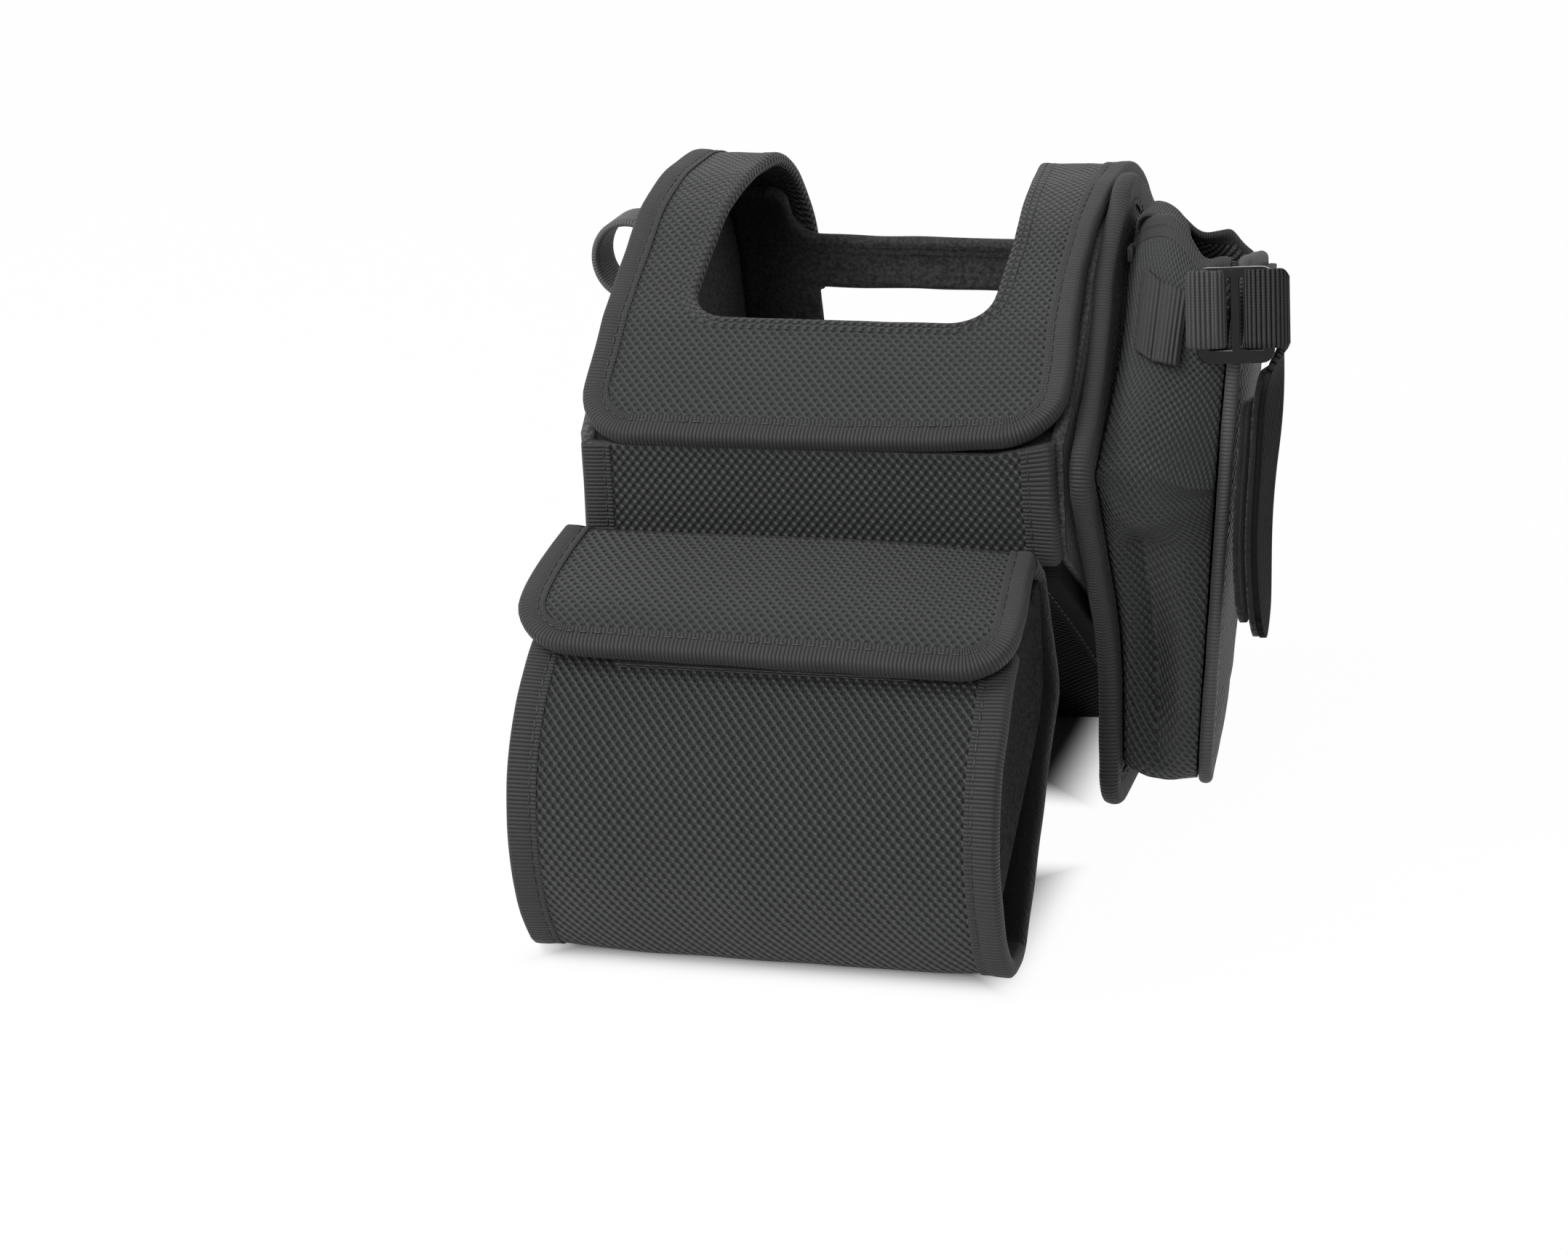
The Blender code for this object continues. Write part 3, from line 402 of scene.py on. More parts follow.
FINISHES = {
    "woven_cloth": lambda f, s, c: woven_finish(f, s, c, -0.02, 0.0, 1.04),
    # Painted shade: the outer cloth darkened and made matt for the wrap's underside, which lies in shade
    "painted_shade_cloth": lambda f, s, c: woven_finish(f, s, c, -0.02, 0.0, 0.35, True),
    # Painted light: the outer cloth evened and darkened as it looks lit from above on the flaps
    "top_lit_cloth": lambda f, s, c: woven_finish(f, s, c, -0.16, 0.22, 0.86),
    # Painted light: the outer cloth made paler and evened where the pouch catches the light
    "pouch_cloth_painted_light": lambda f, s, c: woven_finish(f, s, c, -0.22, 0.26, 1.25),
    # Painted light: the webbing made paler and flatter for the lit left ring
    "painted_light_webbing": lambda f, s, c: ribbed_finish(f, tint(c.webbing, 1.8), s.tape_rib, 0.15 * MM, 0.2),
    "ribbed_tape": lambda f, s, c: ribbed_finish(f, tint(c.tape, 1.05), s.tape_rib, 0.30 * MM, 0.38),
    # Painted shade: the edge tape darkened and made matt where it runs into shade
    "painted_shade_tape": lambda f, s, c: ribbed_finish(f, tint(c.tape, 0.35), s.tape_rib, 0.20 * MM, 0.25,
                                                 dim=0.99),
    # Painted sheen: the edge tape made much paler for the pouch face's edge, seen at a flat angle
    "painted_sheen_tape": lambda f, s, c: ribbed_finish(f, tint(c.tape, 2.6), s.tape_rib, 0.20 * MM, 0.20),
    "strap_webbing": lambda f, s, c: ribbed_finish(f, c.webbing, s.web_rib, 0.45 * MM, 0.50),
    "anchor_webbing": lambda f, s, c: ribbed_finish(f, tint(c.webbing, 0.55), s.web_rib, 0.45 * MM, 0.50),
    # Painted shade: the strap's webbing, matt and darker on its hanging part
    "tail_webbing_painted_shade": lambda f, s, c: ribbed_finish(f, c.webbing, s.web_rib, 0.45 * MM, 0.50, True, 0.10),
    "smooth_lining": lambda f, s, c: lining_finish(f, c.lining),
    # Painted shade: the lining darkened and made matt for the pocket's recessed end gussets
    "painted_shade_lining": lambda f, s, c: lining_finish(f, tint(c.lining, 0.65), True),
    # Painted light: the lining made paler for the walls' inner sides, lit through the open top
    "painted_light_lining": lambda f, s, c: lining_finish(f, tint(c.lining, 1.7)),
    # Real pile on the hook and loop patches, and painted shade on the right wall, the facing, the pocket
    # tapes' hidden parts and the tail's plies
    "hook_pile_and_painted_shade": lambda f, s, c: pile_finish(f, c),
    "moulded_plastic": lambda f, s, c: plastic_finish(f, c),
    "sewing_thread": lambda f, s, c: thread_finish(f, c),
}


def look(name):
    """The finish of that name, made the first time it is asked for."""
    made = bpy.data.materials.get(name)
    scene = bpy.context.scene
    return made or FINISHES[name](Finish(name), scene.case_sizes, scene.case_colours)


# Lines and patterns in two dimensions

def rounded(corners, closed=False):
    """Points along corners (a, b, radius), with each corner turned into an arc."""
    points = []
    last = len(corners) - 1
    for i, (a, b, radius) in enumerate(corners):
        here = Vector((a, b))
        if radius == 0 or (not closed and i in (0, last)):
            points.append(here)
            continue
        back = (Vector(corners[i - 1][:2]) - here).normalized()
        ahead = (Vector(corners[(i + 1) % (last + 1)][:2]) - here).normalized()
        half = back.angle(ahead) / 2
        centre = here + (back + ahead).normalized() * (radius / sin(half))
        start = here + back * (radius / tan(half)) - centre
        sweep = pi - 2 * half
        turn = 1 if back.x * ahead.y - back.y * ahead.x < 0 else -1
        steps = max(2, ceil(sweep / radians(5.0)))
        for k in range(steps + 1):
            angle = turn * sweep * k / steps
            points.append(centre + Vector((start.x * cos(angle) - start.y * sin(angle),
                                           start.x * sin(angle) + start.y * cos(angle))))
    return points


def inset(corners, depths):
    """A closed outline moved inwards, edge by edge; corners run counter-clockwise."""
    lines = []
    for i, corner in enumerate(corners):
        start = Vector(corner[:2])
        along = (Vector(corners[(i + 1) % len(corners)][:2]) - start).normalized()
        lines.append((start + Vector((-along.y, along.x)) * depths[i], along))
    moved = []
    for i, corner in enumerate(corners):
        (p, d), (q, e) = lines[i - 1], lines[i]
        cross = d.x * e.y - d.y * e.x
        meet = p + d * (((q - p).x * e.y - (q - p).y * e.x) / cross)
        shrink = min(depths[i - 1], depths[i]) * (1 if cross > 0 else -1)
        moved.append((meet.x, meet.y, max(corner[2] - shrink, CLEAR) if corner[2] else 0))
    return moved


def clipped(points, a, b):
    """The part of a closed outline above the line from b to a."""
    def height(p):
        return p.y - b.y - (a.y - b.y) * (p.x - b.x) / (a.x - b.x)

    kept = []
    for p, q in zip(points, points[1:] + points[:1]):
        if height(p) >= 0:
            kept.append(p)
        if (height(p) >= 0) != (height(q) >= 0):
            kept.append(p.lerp(q, height(p) / (height(p) - height(q))))
    return kept


class Line:
    """A path or a cut edge; a point on it is given by the length along it and an offset to its left."""

    def __init__(self, points, closed=False):
        ring = points + points[:1] if closed else points
        edges = [(b - a).normalized() for a, b in zip(ring, ring[1:])]
        lefts = [Vector((-d.y, d.x)) for d in edges]
        self.lefts = []
        for i in range(len(ring)):
            one = lefts[i - 1] if i or closed else lefts[0]
            two = lefts[i] if i < len(lefts) else lefts[0] if closed else lefts[-1]
            self.lefts.append((one + two) / (1 + one.dot(two)))
        self.points = ring
        self.stations = [0.0]
        for a, b in zip(ring, ring[1:]):
            self.stations.append(self.stations[-1] + (b - a).length)
        self.length = self.stations[-1]

    def at(self, along, left=0.0):
        k = min(max(bisect_right(self.stations, along) - 1, 0), len(self.stations) - 2)
        share = (along - self.stations[k]) / (self.stations[k + 1] - self.stations[k])
        spot = self.points[k].lerp(self.points[k + 1], share)
        return spot + self.lefts[k].lerp(self.lefts[k + 1], share) * left

    def lay(self, across, along, depth):
        """Lays a flat pattern along the path, depth towards the inside of the case."""
        spot = self.at(along, depth)
        return Vector((across, spot.x + SHIFT, spot.y))

    def nearest(self, point):
        """Length along the path at one of its own corners."""
        far = [(spot - Vector(point)).length for spot in self.points]
        return self.stations[far.index(min(far))]

    def rising(self, height):
        """Length along the path where it first reaches a height."""
        for k in range(len(self.points) - 1):
            low, high = self.points[k].y, self.points[k + 1].y
            if low != high and min(low, high) <= height <= max(low, high):
                run = self.stations[k + 1] - self.stations[k]
                return self.stations[k] + (height - low) / (high - low) * run
        raise ValueError("the path does not reach that height")


def path(corners):
    return Line(rounded(corners))


def strip(half, start, end):
    """A plain rectangle across the case."""
    return [Vector(p) for p in ((half, start), (half, end), (-half, end), (-half, start))]


def margins(spots, loops):
    """Distance of each spot from the pattern's edge, positive inside it, and the nearest edge place."""
    best = np.full(len(spots), np.inf)
    nearest = np.zeros_like(spots)
    inside = np.zeros(len(spots), bool)
    for loop in loops:
        ring = np.array([tuple(p) for p in loop])
        for p, q in zip(ring, np.roll(ring, -1, 0)):
            run = q - p
            share = np.clip((spots - p) @ run / max(run @ run, 1e-18), 0, 1)
            foot = p + share[:, None] * run
            far = np.linalg.norm(spots - foot, axis=1)
            closer = far < best
            best[closer] = far[closer]
            nearest[closer] = foot[closer]
            if p[1] != q[1]:
                level = (p[1] > spots[:, 1]) != (q[1] > spots[:, 1])
                cross = run[0] * (spots[:, 1] - p[1]) / run[1] + p[0]
                inside ^= level & (spots[:, 0] < cross)
    return np.where(inside, best, -best), nearest


def ripple(a, b, pitch, seed=0.0):
    """Smooth unevenness from -1 to 1, the same on every run."""
    return noise.noise(Vector((a / pitch, b / pitch, 3.7 + seed)))


# Meshes

def choose(obj):
    """Makes one object the only selected one."""
    bpy.ops.object.select_all(action="DESELECT")
    obj.select_set(True)
    bpy.context.view_layer.objects.active = obj


@contextmanager
def opened(obj, selected=None):
    """Opens an object for editing, with all of it selected, none of it, or what was selected before."""
    choose(obj)
    bpy.ops.object.mode_set(mode="EDIT")
    if selected:
        bpy.ops.mesh.select_all(action=selected)
    yield
    bpy.ops.object.mode_set(mode="OBJECT")


def turn_over(obj):
    """Turns every face to look the other way."""
    with opened(obj, "SELECT"):
        bpy.ops.mesh.flip_normals()


def face_outwards(obj):
    """Turns every face of a closed piece outwards."""
    with opened(obj, "SELECT"):
        bpy.ops.mesh.normals_make_consistent(inside=False)


def modifier(obj, kind, **settings):
    """Adds a modifier, sets it up and applies it."""
    choose(obj)
    added = obj.modifiers.new(kind.lower(), kind)
    for key, value in settings.items():
        setattr(added, key, value)
    bpy.ops.object.modifier_apply(modifier=added.name)


def grid(name, columns, rows):
    """A flat grid one metre wide and long, as the start of a cloth piece."""
    bpy.ops.object.select_all(action="DESELECT")
    bpy.ops.mesh.primitive_grid_add(x_subdivisions=columns, y_subdivisions=rows, size=1.0, location=(0, 0, 0))
    obj = bpy.context.object
    obj.name = name
    obj.data.name = name
    return obj


def places(mesh):
    spots = np.empty(len(mesh.vertices) * 3)
    mesh.vertices.foreach_get("co", spots)
    return spots.reshape(-1, 3)


def put(mesh, spots, flat):
    """Moves the vertices, clear of the floor, and writes their places on the cut cloth as the UV map."""
    spots = np.asarray(spots, float)
    spots[:, 2] = np.maximum(spots[:, 2], FLOOR_GAP)
    mesh.vertices.foreach_set("co", spots.ravel())
    corner = np.empty(len(mesh.loops), int)
    mesh.loops.foreach_get("vertex_index", corner)
    mesh.uv_layers["UVMap"].uv.foreach_set("vector", np.asarray(flat, np.float32)[corner].ravel())
    mesh.update()


def smooth(obj, looks, angle=40.0):
    """Smooth shading and the piece's finishes."""
    choose(obj)
    bpy.ops.object.shade_smooth_by_angle(angle=radians(angle))
    for name in looks:
        obj.data.materials.append(look(name))


def drop_faces(obj, chosen):
    """Deletes the chosen faces."""
    with opened(obj, "DESELECT"):
        pass
    bpy.context.tool_settings.mesh_select_mode = (False, False, True)
    obj.data.polygons.foreach_set("select", chosen)
    with opened(obj):
        bpy.ops.mesh.delete(type="FACE")


def repaint(piece, name, chosen):
    """Gives the chosen faces a further finish."""
    slots = piece.data.materials
    if name not in slots:
        slots.append(look(name))
    index = slots.find(name)
    for face in piece.data.polygons:
        if chosen(face):
            face.material_index = index


def cut_places(piece, face):
    """Places of a face's corners on the cut cloth."""
    uv = piece.data.uv_layers["UVMap"].uv
    return [uv[k].vector for k in face.loop_indices]


def panel(name, loops, lay, thick, looks, form=None, cell=2.0 * MM):
    """Cuts a grid to a pattern, lays it in place with its relief and gives it its thickness."""
    ring = np.array([tuple(p) for p in loops[0]])
    low, high = ring.min(0), ring.max(0)
    span = high - low
    obj = grid(name, max(2, ceil(span[0] / cell)), max(2, ceil(span[1] / cell)))
    mesh = obj.data
    middle = np.array([face.center[:2] for face in mesh.polygons])
    inside, _ = margins((middle + 0.5) * span + low, loops)
    drop_faces(obj, inside <= 0)
    flat = (places(mesh)[:, :2] + 0.5) * span + low
    uses = np.zeros(len(mesh.edges), int)
    owner = np.empty(len(mesh.loops), int)
    mesh.loops.foreach_get("edge_index", owner)
    np.add.at(uses, owner, 1)
    rim = sorted({v for edge in mesh.edges if uses[edge.index] == 1 for v in edge.vertices})
    _, nearest = margins(flat, loops)
    flat[rim] = nearest[rim]
    inside, _ = margins(flat, loops)
    rise = [form(x, s, m) if form else 0.0 for (x, s), m in zip(flat, np.maximum(inside, 0))]
    put(mesh, [lay(x, s, -h) for (x, s), h in zip(flat, rise)], flat)
    centre = flat[len(flat) // 2]
    out = lay(*centre, -MM) - lay(*centre, 0.0)
    near = int(np.argmin(((flat - centre) ** 2).sum(1)))
    spot = mesh.vertices[near].co
    face = min(mesh.polygons, key=lambda p: (p.center - spot).length)
    if face.normal.dot(out) < 0:
        turn_over(obj)
    sliver = 0.03 * cell * cell
    drop_faces(obj, np.array([face.area for face in mesh.polygons]) < sliver)
    smooth(obj, looks)
    modifier(obj, "SOLIDIFY", thickness=thick, offset=-1.0, use_even_offset=False,
             material_offset=len(looks) - 1, material_offset_rim=len(looks) - 1)
    return obj


def tube(name, columns, rows, place, flat, looks, closed=False):
    """Wraps a grid into a sleeve; place(u, v) and flat(u, v) take shares of its girth and length."""
    obj = grid(name, columns, rows)
    mesh = obj.data
    shares = places(mesh)[:, :2] + 0.5
    put(mesh, [place(u, v) for u, v in shares], [flat(u, v) for u, v in shares])
    with opened(obj, "SELECT"):
        bpy.ops.mesh.remove_doubles(threshold=0.002 * MM)
        if not closed:
            bpy.ops.mesh.fill_holes(sides=0)
    face_outwards(obj)
    smooth(obj, looks, 50.0)
    return obj


def loop_line(section):
    """A closed section as a line, so that its girth can be walked."""
    return Line([Vector(p) for p in section], True)


# Point of a folded tape's section at which its inner leg starts
INNER_LEG = 20


def folded_section(thick, cover, rise):
    """Section of a tape folded round an edge, as (outwards, depth), with a rolled nose and sewn dips."""
    mid = thick / 2
    tall = mid + 0.85 * EDGE * rise
    roll = 1.6 * MM
    turns = [radians(90 - 15 * k) for k in range(13)]
    nose = [(EDGE - roll + roll * cos(a), -tall * sin(a)) for a in turns]
    leg = [(-cover, 0.05), (-cover, 0.42), (-cover + 0.35 * MM, 0.58), (-cover + 1.0 * MM, 0.56),
           (-cover + 1.7 * MM, 0.36), (-cover + 2.4 * MM, 0.60), (-cover * 0.42, 0.78)]
    outer = [(out, -lift * rise * MM) for out, lift in leg]
    middle = [(out, mid + depth) for out, depth in nose]
    inner = [(out, thick - depth) for out, depth in reversed(outer)]
    back = [(-cover * 0.5, thick + 0.02 * MM), (-0.4 * MM, thick * 0.8),
            (-0.4 * MM, thick * 0.2), (-cover * 0.5, -0.02 * MM)]
    return outer + middle + inner + back


def tape(name, edge, lay, thick=SHEET, cover=TAPE_COVER, closed=False, rise=1.0, weave="ribbed_tape"):
    """Edge tape folded over a cut edge, its cloth on the edge's left."""
    section = loop_line(folded_section(thick, cover, rise))
    columns = len(section.points) - 1
    rows = max(4, ceil(edge.length / TAPE_STEP))

    def place(u, v):
        out, depth = section.points[round(u * columns) % columns]
        along = edge.length * (v % 1.0 if closed else v)
        sway = 0.30 * MM * ripple(along, 0.0, 14 * MM, edge.length)
        spot = edge.at(along, -out - sway)
        puff = 0.15 * MM * ripple(along, out, 9 * MM, 5.0)
        return lay(spot.x, spot.y, depth - puff if depth < thick / 2 else depth + puff)

    def flat(u, v):
        return edge.length * v, section.stations[round(u * columns)]

    return tube(name, columns, rows, place, flat, [weave], closed)


def seam(edge, lay, cover, both=False):
    """Places of the stitches along a tape: start, end and the way off the cloth."""
    sizes = bpy.context.scene.case_sizes
    pitch = sizes.stitch + sizes.stitch_gap
    count = max(1, floor(edge.length / pitch))
    pitch = edge.length / count
    inset_by = cover - SEAM_INSET
    first = 0.4 * sizes.stitch_gap
    sides = [(-STITCH_LIFT, -1.0)] + ([(SHEET + STITCH_LIFT, 1.0)] if both else [])
    rows = []
    for k in range(count):
        ends = [edge.at(k * pitch + d, inset_by) for d in (first, first + sizes.stitch)]
        for depth, sign in sides:
            a, b = (lay(p.x, p.y, depth) for p in ends)
            up = lay(ends[0].x, ends[0].y, depth + sign * MM) - a
            rows.append((a, b, up.normalized()))
    return rows


def stitches(name, rows):
    """Copies one modelled stitch along the seams."""
    sizes = bpy.context.scene.case_sizes
    bpy.ops.object.select_all(action="DESELECT")
    bpy.ops.mesh.primitive_uv_sphere_add(segments=6, ring_count=5, radius=0.5, location=(0, 0, 0))
    obj = bpy.context.object
    obj.name = name
    one = places(obj.data)
    faces = [tuple(face.vertices) for face in obj.data.polygons]
    spots, polys = [], []
    for a, b, up in rows:
        along = b - a
        side = along.cross(up).normalized() * sizes.thread
        lift = side.cross(along).normalized() * sizes.thread * 0.9
        if lift.dot(up) < 0:
            lift = -lift
        start = len(spots)
        middle = (a + b) / 2
        for x, y, z in one:
            spots.append(middle + along * z + side * x + lift * (y + 0.12 - 0.6 * z * z))
        polys += [tuple(i + start for i in face) for face in faces]
    mesh = bpy.data.meshes.new(name)
    mesh.from_pydata([tuple(p) for p in spots], [], polys)
    old = obj.data
    obj.data = mesh
    bpy.data.meshes.remove(old)
    face_outwards(obj)
    smooth(obj, ["sewing_thread"], 60.0)
    return obj


def band(name, line, lay, half, thick, closed=False, pitch=1.6 * MM, weave="strap_webbing"):
    """Webbing along a line: width half to each side, thickness to the line's left, soft selvedges."""
    r = thick * 0.45
    section = loop_line([(-half + r, 0), (-half * 0.5, 0), (0, 0), (half * 0.5, 0), (half - r, 0),
                         (half - r * 0.2, thick * 0.2), (half, thick * 0.5), (half - r * 0.2, thick * 0.8),
                         (half - r, thick), (half * 0.5, thick), (0, thick),
                         (-half * 0.5, thick), (-half + r, thick), (-half + r * 0.2, thick * 0.8),
                         (-half, thick * 0.5), (-half + r * 0.2, thick * 0.2)])
    columns = len(section.points) - 1
    rows = max(6, ceil(line.length / pitch))

    def place(u, v):
        across, depth = section.points[round(u * columns) % columns]
        along = line.length * (v % 1.0 if closed else v)
        return lay(across, line.at(along, depth))

    def flat(u, v):
        return line.length * v, section.stations[round(u * columns)]

    return tube(name, columns, rows, place, flat, [weave], closed)


def sewn(piece, body, slot, *nodes):
    """Rides a finished piece on its body, in place of the solids it stands for."""
    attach(piece, body)
    if nodes:
        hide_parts(*nodes)
    return piece


def padded(piece, body):
    """Sews on a stiffened panel in place of its three layers."""
    sewn(piece, body, "cloth", *[f"{piece.name}_{layer}" for layer in ("cloth", "board", "lining")])


def patch(name, body, wide, start, end, lay, cell):
    """One of the hook and loop patches."""
    piece = panel(name, [strip(wide / 2, start, end)], lay, PATCH, ["hook_pile_and_painted_shade"], cell=cell)
    sewn(piece, body, "hook_and_loop", name)


def side_tapes(name, end, lay, dark, start, inside=False):
    """Tapes along both side edges of a strip; gives the places of their stitches.

    The right one is painted dark as shade from a place along it, and the inner legs of both may be painted
    dark as shade too."""
    leg = loop_line(folded_section(SHEET, TAPE_COVER, 1.0)).stations[INNER_LEG] + 1e-6
    rows = []
    for side, across, ends in (("right", HALF, (0, end)), ("left", -HALF, (end, 0))):
        edge = Line([Vector((across, s)) for s in ends])
        piece = tape(f"{name}_tape_{side}", edge, lay)
        if inside:
            repaint(piece, dark, lambda face: max(spot.y for spot in cut_places(piece, face)) > leg)
        if side == "right":
            repaint(piece, dark, lambda face: min(spot.x for spot in cut_places(piece, face)) > start)
        sewn(piece, "case", "tape", f"{name}_tape_{side}")
        rows += seam(edge, lay, TAPE_COVER)
    return rows


def relief(crown, wrinkle, seed):
    """A panel's outer form: swelling from its bound edge, broad unevenness and puckers by the seam."""
    sizes = bpy.context.scene.case_sizes

    def rise(x, s, margin):
        open_part = 1.0 - exp(-max(margin - 4 * MM, 0.0) / (14 * MM))
        swell = sizes.crown * crown * open_part
        waves = ripple(x, s, 34 * MM, seed) + 0.5 * ripple(x, s, 15 * MM, seed + 9)
        uneven = sizes.wrinkle * wrinkle * open_part * waves
        pucker = 0.22 * MM * exp(-abs(margin - 8.5 * MM) / (3 * MM)) * ripple(x, s, 5.5 * MM, seed + 3)
        return swell + uneven + pucker

    return rise


# Paths of the main pieces

def clamp(value):
    return min(max(value, 0.0), 1.0)


def bell(value, middle, width):
    return exp(-((value - middle) / width) ** 2)


def roof_height(y):
    """Height of the flap's outer face over a place on the sloping roof."""
    return ROOF_TOP - (ROOF_BREAK - y) * ROOF_FALL


def settle(spot):
    """The soft right shoulder has sunk: where a place near the roof comes down to."""
    lean = clamp((spot.x + 38 * MM) / (76 * MM))
    rise = clamp((spot.z - 100 * MM) / (42 * MM))
    rise *= rise * (3 - 2 * rise)
    inwards = 1.4 * MM * rise * (1 - lean) + 3.6 * MM * lean * rise ** 3
    return spot + Vector((-inwards, 0, -1.7 * MM * lean * rise))


def wrap_path():
    """Outer face of the wrap in the side view: front panel, slanting underside and heel."""
    return path([(0, FRONT_TOP + 1.6 * MM, 0), (0, FRONT_FOOT, 10 * MM), (HEEL_START, 0, 12 * MM),
                 (BODY_DEPTH, 0, 0)])


def flap_path():
    """Outer face of the top flap, from its seam at the back over the arch and down to its lip."""
    return path([(FLAP_REAR, ARM_SEAM, 0), (FLAP_REAR, ROOF_TOP, ARCH_R),
                 (ROOF_BREAK, ROOF_TOP, ROOF_BREAK_R), (FLAP_LIP, roof_height(FLAP_LIP), 0)])


def belly_point(angle, radius):
    """A point round the pocket's belly; the angle rises from straight ahead."""
    return BELLY + Vector((-cos(angle), sin(angle))) * radius


def pocket_ring():
    """Outer face of the pocket from its mouth, round the belly, under and up the back."""
    mouth = belly_point(BELLY_TOP, BELLY_R) + Vector((sin(BELLY_TOP), cos(BELLY_TOP))) * MOUTH_RUN
    half = (BELLY_TOP + BELLY_FOOT) / 2
    front = belly_point(BELLY_TOP - half, BELLY_R / cos(half))
    foot = belly_point(-BELLY_FOOT, BELLY_R)
    toe = foot.x + (foot.y - EDGE) * tan(BELLY_FOOT)
    back = -2 * EDGE - CLEAR
    return [(mouth.x, mouth.y, 0), (front.x, front.y, BELLY_R), (toe, EDGE, 8 * MM),
            (POCKET_HEEL, EDGE, 10 * MM), (back, 51 * MM, 14 * MM), (back, 82 * MM, 4 * MM)]


def pocket_path():
    """The pocket's outer face and, past the ridge, the outer face of its flap."""
    lip_angle = radians(56.0)
    lip = belly_point(lip_angle, BELLY_R + SHEET + EDGE + 2 * PATCH + 3 * CLEAR)
    fold = lip + Vector((sin(lip_angle), cos(lip_angle))) * 12.5 * MM
    return path(pocket_ring() + [(*RIDGE, 0), (fold.x, fold.y, 25 * MM), (lip.x, lip.y, 0)])


def slump(spot):
    """The pocket's right rear corner has sunk inwards: where a place near it comes to."""
    rear = clamp((spot.y - SHIFT + 50 * MM) / (38 * MM))
    high = clamp((spot.z - 50 * MM) / (35 * MM))
    share = clamp(spot.x / HALF) ** 2 * rear * high
    return spot + Vector((-3.8 * MM * share, 0, -2.3 * MM * share))


def pouch_ring():
    """Back panel of the pouch, counter-clockwise in the side view from its lower front."""
    return [(20.5 * MM, POUCH_FOOT, 8 * MM), (104 * MM, POUCH_FOOT, 8 * MM), (104 * MM, 143 * MM, 15 * MM),
            (84 * MM, 158 * MM, 15 * MM), (-1.5 * MM, 102.5 * MM, 9 * MM), (25.5 * MM, 49 * MM, 40 * MM)]


def face_ring():
    """Outer panel of the pouch, counter-clockwise from its lower front."""
    foot = POUCH_FOOT + POUCH_SEAM - TAPE_COVER + EDGE
    return [(FACE_FRONT, foot, 12 * MM), (FACE_REAR, foot, 12 * MM), (FACE_REAR, MOUTH_REAR, 8 * MM),
            (FACE_FRONT + 7 * MM, MOUTH, 8 * MM), (FACE_FRONT, 104 * MM, 40 * MM)]


def face_x(y, z):
    """Outer face of the pouch: wider at the top, narrower at the back."""
    sunk = 3.0 * MM * clamp((y - FACE_FRONT) / (60 * MM)) * clamp(1 - z / (110 * MM))
    return 85.6 * MM + 0.085 * z - 0.06 * (y - FACE_FRONT) - sunk


def lay_face(y, z, depth):
    return Vector((face_x(y, z) - depth, y + SHIFT, z))


def lay_pouch_back(y, z, depth):
    spot = settle(Vector((POUCH_X - depth, y + SHIFT, z)))
    return spot - Vector((0.7 * MM * clamp((z - 100 * MM) / (20 * MM)), 0, 0))


